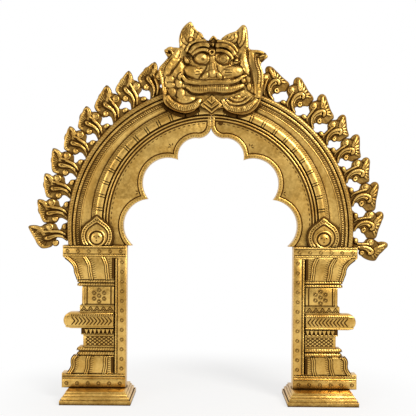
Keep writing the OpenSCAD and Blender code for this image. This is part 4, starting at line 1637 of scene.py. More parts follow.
DRAWINGS = {
    Side.LEFT: LeafDrawing(
        foot=(
            (0.1, -0.68), (1.2, -0.675), (2.8, -0.63), (5, -0.58), (6.8, -0.585), (8.1, -0.645), (9, -0.74)
        ),
        low_foot=(
            (0.1, -0.57), (1.2, -0.56), (2.8, -0.47), (5, -0.39), (7, -0.36), (8.6, -0.39), (9.9, -0.48),
            (11, -0.59), (12.6, -0.7), (14.6, -0.78), (16.8, -0.81)
        ),
        joint=(10, 13, 16, 17.6),
        blade=(
            (18.9, -0.81), (20.2, -0.785), (21.4, -0.71), (22.5, -0.6), (23.2, -0.48), (24.3, -0.31),
            (25.6, -0.16), (26.7, -0.04), (27, 0.025), (26.2, 0.07), (24.2, 0.09), (22, 0.08), (20.5, 0.05)
        ),
        head=(
            (19.3, 0, 1.5), (18.3, 0, 2.5), (17.2, 0, 3.4), (15.6, 0, 3.8), (12.6, 0, 3.8), (10.8, 0, 3.4),
            (9.6, 0, 2.5), (8.8, 0, 0.8), (7.6, -0.07), (6.4, -0.07), (5.5, 0), (5.2, 0.08), (4.4, 0.15),
            (3, 0.19), (1.6, 0.22), (0.1, 0.225)
        ),
        stems=(
            ((0.6, -0.56, 1.1, 0.7), (2.2, -0.47, 1.4, 0.8), (5, -0.37, 1.6, 0.95), (9, -0.335, 1.7, 1.1),
             (12.5, -0.37, 1.8, 1.5), (15.2, -0.41, 1.9, 1.8), (16.8, -0.42, 1.8, 1.5),
             (17.8, -0.42, 1.5, 0.9)),
            ((11.6, -0.56, 1.2, 0.9), (12, -0.63, 1.4, 1), (11, -0.69, 1.5, 1), (9.6, -0.68, 1.5, 1),
             (9, -0.61, 1.5, 1), (9.9, -0.575, 1.6, 1), (10.5, -0.625, 1.7, 1))
        ),
        strand=(
            (1.2, -0.34, 1, 0.7), (4, -0.24, 1.3, 1), (7, -0.165, 1.5, 1.1), (11, -0.15, 1.6, 1.1),
            (15, -0.165, 1.6, 1), (18.6, -0.15, 1.5, 0.9)
        ),
        lobes=(
            ((15.6, -0.75, 0.8, 1), (18.8, -0.73, 1, 1.2), (21.2, -0.58, 1.1, 1.3), (22.8, -0.38, 1.1, 1.3),
             (24.6, -0.18, 1, 1.2), (26, -0.04, 0.8, 0.9)),
            ((18.4, -0.1, 1, 1.1), (20.6, -0.03, 1.2, 1.4), (23, 0.01, 1.2, 1.4), (25.4, 0.02, 0.9, 0.9))
        ),
        ridges=(),
        lines=(
            ((2.4, -0.46, 0.4), (4.4, -0.335, 0.5), (7.4, -0.255, 0.55), (11, -0.235, 0.55),
             (14.4, -0.285, 0.55), (17.2, -0.31, 0.55), (18.9, -0.36, 0.5), (19, -0.45, 0.5),
             (17.8, -0.53, 0.5), (15.2, -0.545, 0.45), (12.4, -0.495, 0.4), (9, -0.43, 0.35)),
            ((14.4, -0.43, 0.3), (15.8, -0.42, 0.34), (15.6, -0.38, 0.34), (13.2, -0.385, 0.3),
             (10.4, -0.355, 0.25)),
            ((17.4, -0.215, 0.6), (15.6, -0.19, 0.6), (14, -0.185, 0.4))
        ),
        veins=(
            (26.2, 0), (25.4, -0.08), (24.6, -0.16), (23.8, -0.25), (23.1, -0.34), (22.5, -0.43),
            (22, -0.52), (21.2, -0.61), (20, -0.69), (18.2, -0.73)
        ),
        swell=(20.4, -0.3, 5, 5.2, 1),
        skipped=0,
        bright=1.7,
    ),
    Side.RIGHT: LeafDrawing(
        foot=(
            (0.1, -0.59), (1.3, -0.57), (2.6, -0.49), (4, -0.46), (5.6, -0.475), (7.2, -0.575), (9, -0.665),
            (10.4, -0.74)
        ),
        low_foot=(
            (0.1, -0.26), (1.2, -0.26), (3, -0.24), (4.6, -0.26), (5.9, -0.36), (6.9, -0.5), (8.2, -0.63),
            (10, -0.73), (13, -0.8), (16.4, -0.83)
        ),
        joint=(11.6, 14, 16.4, 18.2),
        blade=(
            (19.4, -0.8), (20.4, -0.73), (21.2, -0.6), (22.2, -0.47), (23.8, -0.34), (25.4, -0.2),
            (26.8, -0.09), (27, 0.01), (26.2, 0.08), (24.6, 0.12), (22.4, 0.125), (20.8, 0.1)
        ),
        head=(
            (19.6, 0, 1.9), (18.6, 0, 2.6), (17.4, 0, 3.4), (16, 0, 3.8), (13.6, 0, 3.8), (12.2, 0, 3.5),
            (11, 0, 2.7), (9.8, 0, 0.9), (7.8, -0.04), (6.2, -0.045), (5, 0), (3.6, 0.12), (2.3, 0.2),
            (1.3, 0.25), (0.1, 0.26)
        ),
        stems=(
            ((0.6, -0.56, 1.4, 0.9), (2.2, -0.43, 1.7, 1), (4, -0.33, 2, 1.05), (6.5, -0.245, 2.2, 1.1),
             (9.5, -0.205, 2.4, 1.1), (12.5, -0.225, 2.5, 1.15), (15, -0.285, 2.6, 1.2),
             (16.5, -0.365, 2.6, 1.3), (16.2, -0.445, 2.5, 1.3), (14.9, -0.49, 2.4, 1.2),
             (13.6, -0.47, 2.3, 1.1)),
            ((2.6, -0.44, 1.2, 0.6), (6, -0.335, 1.5, 0.7), (9.5, -0.295, 1.7, 0.75), (12, -0.325, 1.8, 0.9),
             (13.9, -0.4, 1.9, 1.3)),
            ((10.6, -0.56, 1.2, 0.7), (9.8, -0.475, 1.5, 0.8), (8.2, -0.465, 1.6, 0.8),
             (7.4, -0.53, 1.6, 0.8), (8.2, -0.595, 1.5, 0.75), (9.3, -0.575, 1.5, 0.7),
             (9.1, -0.53, 1.5, 0.6))
        ),
        strand=(
            (1, -0.19, 1, 0.6), (4, -0.1, 1.3, 0.8), (8, -0.075, 1.5, 0.9), (12, -0.06, 1.6, 0.9),
            (15, -0.07, 1.6, 0.9)
        ),
        lobes=(),
        ridges=(
            (25.4, 0.02, 1.5), (24.8, -0.15, 1.1), (23, -0.31, 1.1), (21.6, -0.46, 1.1), (20.4, -0.6, 1),
            (18.8, -0.72, 0.9)
        ),
        lines=(
            ((3.4, -0.25, 0.4), (6.4, -0.155, 0.55), (10, -0.125, 0.55), (14, -0.18, 0.55),
             (17.2, -0.27, 0.5), (18, -0.38, 0.5), (17.2, -0.5, 0.5), (14.8, -0.56, 0.45),
             (12.6, -0.53, 0.4)),
            ((21, -0.05, 0.6), (20, 0.02, 0.8), (19.2, 0.07, 0.6)),
            ((3, -0.41, 0.34), (6.2, -0.29, 0.4), (9.5, -0.25, 0.42), (12.2, -0.275, 0.4),
             (14.2, -0.345, 0.34))
        ),
        veins=((25.6, -0.065), (24.4, -0.23), (22.8, -0.385), (21.5, -0.53), (20.1, -0.66)),
        swell=(),
        skipped=1,
        bright=2.3,
    ),
}


@dataclass
class Flame:
    """One flame leaf on the rim: a stem with its curl, a bud, a trunk and a blade of its side's cut."""

    tip: float
    span: float
    height: float
    side: Side
    lowest: bool = False
    drawn: float = 27.0
    root: float = 15.0
    trunk: float = 3.8
    overlap: float = 0.1
    back: float = -1.5
    face: float = 0.7
    shadow: float = 0.55
    low: float = 5.5
    clear: float = 0.5
    hub: Spot = (14.6, -0.36)
    sway: float = 0.03
    bud: Spot = (14.6, 0.6)
    bud_sizes: tuple[float, ...] = (3.2, 3.0, 1.3)
    toe: Spot = (2.8, 0.05)
    toe_sizes: tuple[float, ...] = (2.2, 2.6, 1.5)
    # The bud's rim line and the trunk's line are painted shade along the seam where the leaf meets its
    # neighbour
    bud_seam_shade: Knots = ((18.4, 1.6), (17.4, 2.6), (15.8, 3.2), (13.6, 3.3), (11.8, 2.9))
    bud_ring: float = 1.7
    trunk_seam_shade: tuple[float, ...] = (11.4, 13.0, 14.6, 16.2, 17.8)
    vein: Knots = ((0.42, 0.3), (0.7, 0.36), (0.97, 0.28))
    grain: float = 0.3
    dent: float = 0.14

    @property
    def drawing(self) -> LeafDrawing:
        """Gives the drawing of the leaf's side."""
        return DRAWINGS[self.side]

    def at(self, u: float, f: float, s: float = 0.0) -> Spot:
        """Places a spot of the leaf.

        Args:
            u: Its height over the rim.
            f: Its share of the span to the leaf below.
            s: A further shift along the rim.

        Returns:
            The spot on the bench.
        """
        over = max(u - self.root, 0.0)
        radius = SIZES.rim_radius + u + over * ((self.height - self.root) / (self.drawn - self.root) - 1.0)
        turn = self.tip + f * self.span + math.degrees(s / radius)
        if u < self.low:
            least = (self.clear + SIZES.arch_foot - SIZES.rim_middle) / radius
            turn = max(turn, math.degrees(math.asin(least)))
        turn = math.radians(turn)
        return radius * math.cos(turn), SIZES.rim_middle + radius * math.sin(turn)

    def run(self, knots: Sequence[Sequence[float]], stretches: int = 3) -> Run:
        """Lays a smooth run through leaf knots of height, share and further values, and returns it."""
        return [(*self.at(knot[0], knot[1]), *knot[2:]) for knot in flowing(knots, stretches)]

    def edge(self) -> Run:
        """Draws the closed edge of the leaf.

        Returns:
            The points of the edge.
        """
        drawing = self.drawing
        foot = drawing.foot + tuple((u, -1.0, self.trunk - self.overlap) for u in drawing.joint)
        if self.lowest:
            foot = drawing.low_foot
        return looped([self.at(*spot) for spot in foot + drawing.blade + drawing.head], 3)

    def stems(self) -> list[Run]:
        """Draws the stem, the curl over the hole and the strand, and returns the knots of each."""
        first = self.drawing.skipped if self.lowest else 0
        return [self.run(path) for path in (*self.drawing.stems, self.drawing.strand[first:])]

    def fan(self, reach: float, stop: float, steps: Sequence[Sequence[float]]) -> Run:
        """Lays a run over the blade from the end of the stem outwards.

        Args:
            reach: How high over the rim its far end lies.
            stop: The share of the span where its far end lies.
            steps: How far along each knot lies, and its further values.

        Returns:
            The knots of the run.
        """
        high, middle = self.hub
        sway = self.sway * noise.noise((self.tip, 9.0 * stop, 0.5))
        knots = []
        for along, *values in steps:
            knots.append((high + along * (reach - high), middle + along * (stop + sway - middle), *values))
        return self.run(knots)

    def lobes(self) -> list[Run]:
        """Draws the swellings of the blade.

        Returns:
            The knots of each.
        """
        runs = [self.run(path) for path in self.drawing.lobes]
        for reach, stop, wire in self.drawing.ridges:
            steps = ((0.25, 1.4, 0.7 * wire), (0.6, 1.5, wire), (0.96, 1.0, 0.7 * wire))
            runs.append(self.fan(reach, stop, steps))
        return runs

    def lines(self) -> list[Run]:
        """Draws the chased lines that fan over the blade, edge the stem and ring the bud, and the painted
        shade lines along the bud's rim and beside the trunk, where the leaf meets its neighbour.

        Returns:
            The knots of each line.
        """
        runs = [self.run(path, 5) for path in self.drawing.lines]
        runs += [self.fan(reach, stop, self.vein) for reach, stop in self.drawing.veins]
        u, s = self.bud
        turns = (0.4, 1.4, 2.4, 3.4, 4.4)
        ring = [(u + self.bud_ring * math.cos(turn), s + self.bud_ring * math.sin(turn)) for turn in turns]
        # Painted shade on the bud's rim, and beside the trunk below, along the seam with the neighbouring
        # leaf; the ring on the bud is chased
        for path, half in ((self.bud_seam_shade, 0.55), (ring, 0.32)):
            runs.append([(*self.at(u, 0.0, s), half) for u, s in flowing(path)])
        if not self.lowest:
            runs.append([(*self.at(u, -1.0, self.trunk + 0.4), 0.55) for u in self.trunk_seam_shade])
        return runs

    def build(self, name: str) -> Piece:
        """Builds the leaf.

        Args:
            name: The piece's name.

        Returns:
            The leaf.
        """
        stems = self.stems()
        parts = [Bench.plate(self.edge(), self.back, self.face, 0.5), Bench.rods(stems, squash=0.8),
                 Bench.rods(self.lobes(), squash=0.55)]
        u, s = self.bud
        parts.append(Bench.blob((*self.at(u, 0.0, s), 0.9), self.bud_sizes, self.tip))
        parts.append(Bench.blob((*self.at(*self.toe), 0.6), self.toe_sizes, self.tip))
        if self.drawing.swell:
            u, f, *sizes = self.drawing.swell
            parts.append(Bench.blob((*self.at(u, f), 0.6), sizes, self.tip + f * self.span))
        piece = Bench.roughen(Bench.fuse(parts, self.grain, 1), self.dent)
        Bench.tarnish(piece, 0.5, self.drawing.bright, 0.85)
        # Painted shadow: flat dark bands round the stems at the leaf's face
        shadows = [[(x, y, self.face, wire + self.shadow) for x, y, _, wire in stem] for stem in stems]
        piece = Bench.join([piece, Bench.chase_and_shade(piece, self.lines()), Bench.inlay_and_shade(shadows)])
        return Bench.stand(piece, name, self.side, 60.0)


@dataclass(frozen=True)
class Scroll:
    """How a scroll below one corner of the mouth is drawn: a hatched band with lumps and arcs over it."""

    name: str
    band: Knots
    lumps: Rows
    arcs: Wires
    dark: tuple[float, float, float]
    darker_patches: Knots
    lines: Lines
    hatching: Knots


LEFT_SCROLL = Scroll(
    name="left_makara_cast",
    band=(
        (-34, -20.4, 10.4, 2), (-31.4, -25.2, 10.6, 2.8), (-26.6, -28.8, 10.8, 3.2),
        (-20.6, -30.2, 10.8, 3.2), (-14.8, -29, 10.8, 3), (-10.4, -25.8, 10.6, 2.6),
        (-8.4, -22.8, 10.4, 1.8)
    ),
    lumps=(
        (-30.4, -17.8, 10.2, (4, 4, 1.6), 20), (-23.6, -18.8, 10.4, (3.8, 4.6, 2), -10),
        (-20, -23.6, 10.2, (8.4, 3.2, 1.3), 8)
    ),
    arcs=(),
    dark=(9.4, 11.8, 0.6),
    darker_patches=((-28, -18.4, 11, 8, 0.6),),
    lines=(
        (0.6, ((-33.4, -17.4), (-31.4, -20.6), (-28, -23), (-24, -26.2), (-17, -26.8), (-12.2, -24.4),
         (-9.6, -22))),
        (0.4, ((-34.4, -24), (-30.6, -29), (-25, -31.8), (-19, -32.4), (-13, -30.6))),
        (0.55, ((-26.9, -15.4), (-26.6, -18.4), (-26.9, -21.4)))
    ),
    hatching=((-32.4, -25), (-26.6, -29.2), (-20.4, -30.4), (-14.4, -28.8), (-10.2, -25.4)),
)
RIGHT_SCROLL = Scroll(
    name="right_makara_cast",
    band=(
        (35, -22.4, 10.4, 2), (31.4, -27, 10.6, 2.8), (26, -30, 10.8, 3.2), (20, -31, 10.8, 3.2),
        (14.2, -29.6, 10.8, 3), (10.2, -26.4, 10.6, 2.4), (8.6, -23, 10.4, 1.8)
    ),
    lumps=((20.4, -20.8, 10.4, (3, 1.6, 1.8)), (21, -25, 9.8, (10, 4.4, 1.4))),
    arcs=(
        (11, 1.1, ((11.6, -23.4), (15.2, -26), (20.5, -26.6), (26, -24.8), (30.4, -20.8))),
        (11, 1, ((14.4, -21.6), (18, -23.4), (22.6, -23.2), (26.4, -20.6)))
    ),
    dark=(9.8, 11.8, 0.8),
    darker_patches=(),
    lines=(
        (0.6, ((10.2, -23), (13.8, -27.2), (20, -28.4), (26.6, -27), (32.4, -21.8))),
        (0.5, ((12.6, -21.8), (16.4, -24.6), (21.4, -25), (25.8, -23.2), (28.8, -19.6))),
        (0.4, ((34.6, -25.6), (30, -30.4), (24.6, -32.6), (18.6, -33), (13, -31.2)))
    ),
    hatching=((32.6, -26.4), (26, -30.2), (20, -31.2), (14.4, -29.8), (10.2, -26)),
)


@dataclass
class LionMask:
    """The horned lion mask over the crown, with straps, scrolls below the mouth and a lozenge."""

    back: float = 7.5
    plate: float = 10.2
    grain: float = 0.42
    scroll_grain: float = 0.36
    stroke: float = 1.25
    dent: float = 0.22
    peg_x: float = 11.0
    peg_drop: float = 24.5
    jewel: tuple[float, float, float] = (0.2, 12.4, 14.2)
    jewel_ring: Spot = (1.8, 0.75)
    curl_middle: Spot = (-32.0, 12.6)
    curl_height: float = 11.0
    curl_start: float = 60.0
    curl_sweep: float = 400.0
    dark: tuple[float, float, float] = (8.8, 11.4, 0.5)
    lozenge_face: float = 12.4
    outline: Knots = (
        (1.2, 25.7), (4.3, 22.9), (6.6, 22.6), (9.8, 25.7), (13.7, 28.2), (17.6, 29.3), (20.7, 32),
        (23, 34.3), (25.4, 34.3), (27.1, 31.6), (27.8, 26.9), (28.2, 21.5), (28.9, 16.4), (33.1, 15.5),
        (37.8, 14.8), (41, 12.9), (43.2, 10.5), (41.7, 8.5), (39.4, 6.6), (37.8, 4.3), (38.6, 0.4),
        (39.7, -5.1), (40, -10.5), (39.5, -16), (38.6, -20.7), (37.1, -25.3), (34.3, -29.6), (30, -32.8),
        (24.6, -34.4), (19.1, -33.8), (13.7, -31.9), (9.8, -29.2), (4, -30.6), (0, -33.4), (-4, -30.4),
        (-9, -28.1), (-12.9, -31.6), (-18.3, -33.5), (-23.8, -33.1), (-29.2, -31.3), (-33.9, -28.5),
        (-36.7, -25), (-37.4, -20.7), (-37.5, -16), (-38.1, -10.5), (-40.2, -5.5), (-41.2, -1.2), (-39.8, 2),
        (-36.7, 5.5), (-33.9, 8.5), (-35.2, 11.3), (-36.7, 14.3), (-35.2, 15.8), (-31.6, 16.9),
        (-27.7, 16.9), (-24.7, 17.1), (-25.4, 21.8), (-24.8, 26.5), (-23, 31.1), (-19.9, 34.8),
        (-16.4, 36.8), (-14.3, 33.9), (-12.1, 30.3), (-9.6, 28.8), (-6.6, 25), (-4.3, 22.7), (-2, 22.6)
    )
    swells: Rows = (
        (0.6, 5, 9, (21.5, 15, 5.2), 0), (1, -9, 9, (23, 12, 4.6), 0), (-25.6, 1, 9.6, (5.6, 9.6, 2.2), 20),
        (25.4, 3, 9.6, (4.4, 11.4, 2.6), 8), (-18.4, 24, 9.2, (6, 11.2, 3.2), -9),
        (-11.6, 24, 9.4, (5.2, 5.6, 2), -40), (23.2, 24.6, 9.2, (4.4, 9.8, 3.6), -6),
        (14.6, 23.4, 9.4, (8.4, 4.8, 2.8), 20)
    )
    eyeballs: Rows = (
        (-7.8, 7.7, 12.6, (6.2, 4.7, 4)), (9.4, 7.4, 12.6, (6.2, 4.5, 3.8)),
        (-18.8, 6.6, 11.8, (2.4, 3.2, 2.2), 24), (18.6, 5.8, 11.8, (2.4, 2.8, 2.2), -20),
        (0.8, 18.2, 12.6, (1.5, 1.9, 1.6)), (0.6, 8.4, 12.6, (2.6, 3.4, 2.2))
    )
    muzzle: Rows = (
        (-13.4, -2.2, 11.4, (8.4, 5, 3.5), -12), (15.4, -2, 11.4, (10, 5, 3.5), 6),
        (0.2, 1, 12.6, (2.9, 5.4, 3.2)), (0.8, -3.2, 13, (3.8, 4.4, 3.6)),
        (-4.2, -5.2, 12.6, (4.6, 2.6, 2.9), 38), (5.8, -5, 12.6, (4.6, 2.6, 2.9), -38)
    )
    knobs: Rows = (
        (-32.2, -8, 10.2, (4.2, 3.4, 1.7), 0), (-31.6, -12.4, 10.2, (4.6, 2.4, 1.5), 0),
        (-24.6, -4.8, 10.6, (2.2, 3, 2), 20), (-25, -10.8, 10.2, (3.2, 4.6, 1.7), 10),
        (24.6, -8.6, 10.8, (2.2, 2.2, 2.4), 0), (29, -13, 10.4, (2.2, 3.4, 1.8), 0)
    )
    straps: tuple[Knots, ...] = (
        ((-25.4, 14.4, 10.4, 2), (-28.6, 9, 10.6, 3.6), (-32.4, 3.6, 10.6, 4.2), (-35, -2, 10.6, 3.8),
         (-36.2, -7.4, 10.6, 2.4), (-36.4, -13, 10.4, 1.8), (-35.6, -18.6, 10.4, 1.8),
         (-34, -23.4, 10.2, 1.8)),
        ((30.4, 14.2, 10.4, 2.4), (31.4, 8.4, 10.6, 3.6), (33, 2.6, 10.6, 4), (34.8, -3.6, 10.6, 4),
         (35.4, -9.8, 10.6, 3.6), (35.6, -16, 10.6, 3.2), (35.2, -21.6, 10.4, 2.8))
    )
    lips: tuple[Knots, ...] = (
        ((-22.8, -4.6, 11.8, 1.2), (-19.4, -9, 12.2, 1.6), (-13, -10.6, 12.5, 1.7), (-5.5, -10.5, 12.6, 1.7),
         (0.6, -10.2, 12.7, 1.7), (8, -10, 12.6, 1.7), (15, -9.9, 12.5, 1.7), (19.6, -8.4, 12.4, 1.6),
         (23.6, -5.8, 12.2, 1.2), (27, -4.6, 11.6, 0.8)),
        ((-19, -13.4, 11.4, 1.6), (-14, -15.7, 11.8, 2.7), (-8, -16.1, 12, 3), (0.4, -15.1, 12, 2.7),
         (8, -15.6, 12, 3), (15, -15.3, 11.9, 2.8), (20.4, -13.6, 11.7, 2.3), (25, -12, 11.4, 1.5))
    )
    edges: Wires = (
        (11.4, 1, ((-33, 7.8), (-36, 4.4), (-38.8, 1), (-39.6, -2.4), (-38.6, -6.6), (-37.6, -11),
         (-36.6, -16.6), (-35.2, -20))),
        (11.6, 1, ((35.4, 8.6), (35.8, 4.6), (37.4, 1), (38.8, -3), (39, -8), (38.6, -14))),
        (11, 1.3, ((30.2, 13.6), (34, 14), (38, 13.2), (41.4, 11.2))),
        (11.4, 0.8, ((36.6, 9.4), (38.6, 10.6), (41, 10.6))),
        (10.8, 1.1, ((-24, 17), (-23.9, 23.6), (-22.6, 29), (-19.4, 33.2), (-16.8, 35))),
        (10.8, 0.9, ((-14.6, 32.4), (-12.2, 29.2), (-9.2, 27.2), (-6.6, 24))),
        (10.8, 1.3, ((26.6, 16.6), (26.4, 22), (26, 27.4), (24.6, 32.6))),
        (10.9, 0.9, ((7.6, 22.8), (11, 25.6), (15, 27.4), (19.4, 28.8))),
        (10.8, 0.9, ((-1.6, 22), (0.4, 24.4), (1.2, 25), (2.2, 24.2), (4, 22.2)))
    )
    brows: Wires = (
        (13.4, 1.2, ((-19.4, 12.6), (-17.6, 17.4), (-13.4, 20.4), (-9, 21.3), (-4.6, 21.4))),
        (13.6, 2, ((-16.6, 11.6), (-13.6, 15.8), (-9.5, 17.8), (-5, 18.2), (-1.6, 17))),
        (14.4, 1.5, ((-14.8, 9.6), (-11.5, 12.9), (-7.5, 14.2), (-4, 13.9), (-1.8, 12.2))),
        (13.4, 1.2, ((4, 21), (9, 21), (14, 19.4), (17.4, 16.7), (19.8, 12.8))),
        (13.6, 2, ((2.9, 17.4), (8, 17.7), (12.4, 16.5), (15.8, 13.8), (17.9, 10.2))),
        (14.4, 1.5, ((3.2, 13.7), (8, 13.6), (12, 12.1), (14.8, 9.2), (15.8, 6.8)))
    )
    ear_lines: Lines = (
        (0.4, ((-22.8, 20.6), (-20.5, 18.8), (-18, 17.3))), (0.4, ((-12.8, 30), (-13.6, 27.5), (-14.2, 25))),
        (0.45, ((-20, 23.8), (-19.5, 21.5), (-18, 20.2))), (0.26, ((-21.5, 31), (-22.6, 27), (-22.4, 23))),
        (0.26, ((-19, 33), (-19.8, 28.5), (-19.6, 25.6))), (0.26, ((-16.6, 33.5), (-16.8, 29), (-17, 26.4))),
        (0.24, ((-23.2, 28.6), (-23.8, 24.4), (-23, 20.4))),
        (0.22, ((-20.4, 32.2), (-21.2, 27.6), (-21, 24))),
        (0.22, ((-17.8, 34.2), (-18.4, 29.6), (-18.2, 26))),
        (0.22, ((-15.2, 32.8), (-15.3, 29.4), (-15.6, 26.4))),
        (0.3, ((-10.4, 28.2), (-11.4, 25.6), (-12, 23.6))),
        (0.5, ((25.4, 28), (25.5, 23.5), (23.8, 19), (21.6, 16.6))),
        (0.45, ((20.3, 28), (20.2, 23.5), (18.4, 20.8), (15.8, 20))),
        (0.35, ((17.2, 27), (17.4, 24.5), (15.8, 22.2), (12.5, 21.8))),
        (0.3, ((14.5, 27.2), (14.6, 25), (12.8, 23.2))), (0.3, ((11.6, 25.8), (12, 24.4), (10.6, 23.2))),
        (0.3, ((23.2, 32), (23.2, 27), (22.6, 22.5), (20.8, 18.8)))
    )
    brow_lines: Lines = (
        (0.55, ((-19, 12), (-16.4, 16.6), (-12.8, 19), (-8.6, 20), (-3.6, 20))),
        (0.5, ((-15.8, 10.6), (-12.6, 14.2), (-8.4, 15.9), (-3.8, 15.8), (-1.6, 14.8))),
        (0.55, ((-14.4, 9), (-11.4, 11.4), (-7.4, 12.5), (-3.2, 11.4))),
        (0.4, ((-21, 14.6), (-18.6, 18.6), (-14.6, 21.6), (-9, 22.4), (-4.6, 22.4))),
        (0.55, ((4.4, 19.5), (9, 19.5), (13, 18.1), (16.3, 15.5), (18.8, 11.6))),
        (0.5, ((11, 22), (15.8, 20.2), (18.8, 17), (20.8, 13.6))),
        (0.5, ((2.8, 15.6), (7.5, 15.6), (11.2, 14.6), (14.2, 12.4), (16.4, 9))),
        (0.55, ((3.6, 12.1), (8.8, 11.7), (12.4, 10.2), (14.8, 7.4))),
        (0.4, ((-3, 21.4), (-1.9, 18.4), (-1.4, 15.2))), (0.4, ((4, 21.4), (3.2, 18.4), (2.4, 15.4))),
        (0.4, ((-3.8, 22), (0.4, 20.8), (5.2, 22)))
    )
    eye_lines: Lines = (
        (0.75, ((-14.4, 7.8), (-12.4, 5), (-8.2, 3.4), (-4, 3), (-1.8, 5))),
        (0.45, ((-2.2, 10.4), (-1.3, 8), (-1.6, 5.4))),
        (0.75, ((2.8, 6.8), (5.8, 4.2), (9.8, 3.1), (14.4, 4.2))),
        (0.45, ((2.9, 11.4), (2.4, 8.8), (3.2, 6.4))), (0.4, ((12, 10.2), (13.6, 7.6), (12.6, 4.8))),
        (0.55, ((-21.6, 9.8), (-21.6, 5.8), (-19.2, 2.9), (-15.2, 2.7))),
        (0.4, ((-19.4, 9.2), (-18, 6.6), (-16.4, 5))), (0.5, ((16.2, 9), (19.2, 9.4), (21.6, 7.4))),
        (0.6, ((15.2, 2.9), (18, 1.9), (21, 2.6))), (0.4, ((17, 6), (18.6, 5.4), (20.2, 6.2)))
    )
    cheek_lines: Lines = (
        (0.46, ((-21, -1.2), (-17.6, -6), (-12.6, -7.8), (-8.8, -8.4))), (0.3, ((-12.8, -0.8), (-7, 0.4))),
        (0.3, ((-12.4, -2.8), (-7, -1.8))), (0.3, ((-12.4, -4.8), (-8, -4))),
        (0.55, ((-3.4, 2.4), (-4.8, -0.8), (-8, -4.2), (-9.6, -7.6))),
        (0.46, ((7.2, -8), (12, -7.6), (17, -7), (20.6, -5.2), (23.8, -4.2))),
        (0.3, ((9.4, -0.9), (14.6, -1.2))), (0.3, ((10.4, -2.9), (15.4, -3))),
        (0.3, ((10.6, -4.8), (15.4, -4.8))), (0.5, ((4, 2.4), (4.8, -1.4), (7.4, -4.2), (8.6, -7.4))),
        (0.5, ((22.6, 2.2), (25, -2.2), (27.4, -4), (29.6, -5.4))),
        (0.4, ((-9.2, -8.4), (-4, -8.6), (0.6, -8.2), (6.4, -8.2))),
        (0.4, ((-2.6, -6.6), (-1.8, -5), (-2.2, -3.4))), (0.4, ((4.2, -6.6), (3.6, -5), (3.8, -3.6)))
    )
    mouth_lines: Lines = (
        (0.36, ((-21, -11.2), (-15, -12.5), (-5, -12.5), (0.6, -12.2), (8, -11.9), (16, -12.1),
         (20.4, -10.8), (23.4, -8.2))),
        # Painted shadow: the wide line under the teeth
        (0.66, ((-20.4, -14.4), (-17, -18.2), (-12, -19.7), (-7, -19.4), (-2, -18.1), (2, -18.1), (5, -18.9),
         (10, -19.3), (15, -18.8), (20, -17), (25.4, -14.6))),
        (0.5, ((-23.6, -2.6), (-26.2, -5.6), (-25.4, -8.4), (-21.4, -9.2))),
        (0.5, ((23.8, -6.6), (26.4, -7.8), (27.4, -10))), (0.5, ((22.6, -10.8), (26.4, -12), (27.6, -14.4))),
        (0.5, ((-35.4, -6.2), (-36.2, -9.4), (-35.4, -13.6))),
        (0.55, ((-35, -14.9), (-30, -14.7), (-26, -14.4), (-20.6, -14.6))),
        (0.55, ((-29.4, -5.6), (-28, -9), (-27.4, -13))),
        (0.4, ((-34.4, -10.2), (-31.8, -10), (-29, -10.4)))
    )
    strap_lines: Lines = (
        (0.65, ((-23.4, 8.2), (-26, 3.2), (-29, -0.8), (-32, -4.2), (-34.8, -5.4))),
        (0.4, ((-30.4, 8), (-34.2, 3.2), (-36.2, -1), (-36.6, -6))),
        (0.5, ((-33.6, 13.8), (-31, 12.8), (-31, 10), (-33.6, 7.4))),
        (0.45, ((-36, 12), (-34.4, 12.6), (-33.4, 11))),
        # Painted shade: the thick line inside the right strap
        (0.9, ((27.6, 15), (27.1, 10), (28.2, 5), (30.2, 0), (31.2, -5), (30.4, -10.6))),
        (0.5, ((41.4, 11.9), (37.2, 11.7), (35, 9.2), (34.8, 5), (36.2, 1.6), (37.6, -2), (37.8, -8),
         (37.2, -14))),
        (0.4, ((32.6, 12.4), (32.8, 8), (33.2, 4), (34.6, -0.4), (35.4, -5.6), (35.2, -11))),
        (0.7, ((37.4, 7.2), (38.8, 6.8), (40.2, 8.4))), (0.6, ((27.4, -15), (30.4, -17.6), (33.8, -19.4)))
    )
    rings: Rows = (
        (0.24, (8.7, 7.2), 2.9, 0, 350, 12), (0.45, (-15.7, 22), 2.3, -40, 240, 12),
        (0.4, (0.2, 12.4), 2.9, 0, 350, 14)
    )
    hatchings: Rows = (
        (((-17.6, -14.8), (-8, -15.2), (0.4, -14.6), (8, -14.7), (15, -14.5), (22.4, -12.6)), 1.5, 2.3),
        (((-32.2, 8.8), (-36, 3.6), (-38, -1), (-37.6, -6)), 1.5, 0.7),
        (((33.8, 9), (34.2, 4), (35.6, 0.4), (36.6, -5), (36.4, -11)), 1.5, 0.7)
    )
    # Darker patches: a browner tone over the mask, the ears, the nose, the lips and the pupils, and painted
    # shade on the brows, over the right eye, along the right strap and under the teeth
    tones_and_shades: Knots = (
        (0, 0, 60, 60, 0.24), (-18.6, 26, 8, 12, 0.42), (20.6, 24, 10, 10, 0.42), (0.2, 1, 5.6, 7, 0.7),
        (0.6, 18.6, 4.6, 5.6, 0.6), (31.6, 1, 4, 14, 0.8), (33.6, 0, 4.6, 17, 0.75),
        (38.6, 7.8, 2.6, 2.2, 0.8), (-14, -21, 7, 4.4, 0.7), (8, -21.4, 8, 4, 0.8),
        (-27.6, -11, 3.4, 8, 0.6), (-6.6, 6.8, 2.2, 2.2, 1), (9, 7.4, 6, 4.6, 0.6),
        (8.7, 7.2, 2.4, 2.4, 0.75), (1, -10.4, 26, 3.4, 0.6), (2, -16.6, 22, 3, 0.45),
        (-15.8, 14.4, 2.6, 3, 0.75), (-11.6, 17.6, 3.4, 2.2, 0.75), (-6.4, 18.6, 3.6, 2, 0.7),
        (6.4, 18, 3.6, 2.2, 0.8), (11.6, 16.8, 3.4, 2.4, 0.8), (15.8, 13.6, 2.6, 3, 0.75),
        (8.6, 13.8, 5, 2, 0.7)
    )

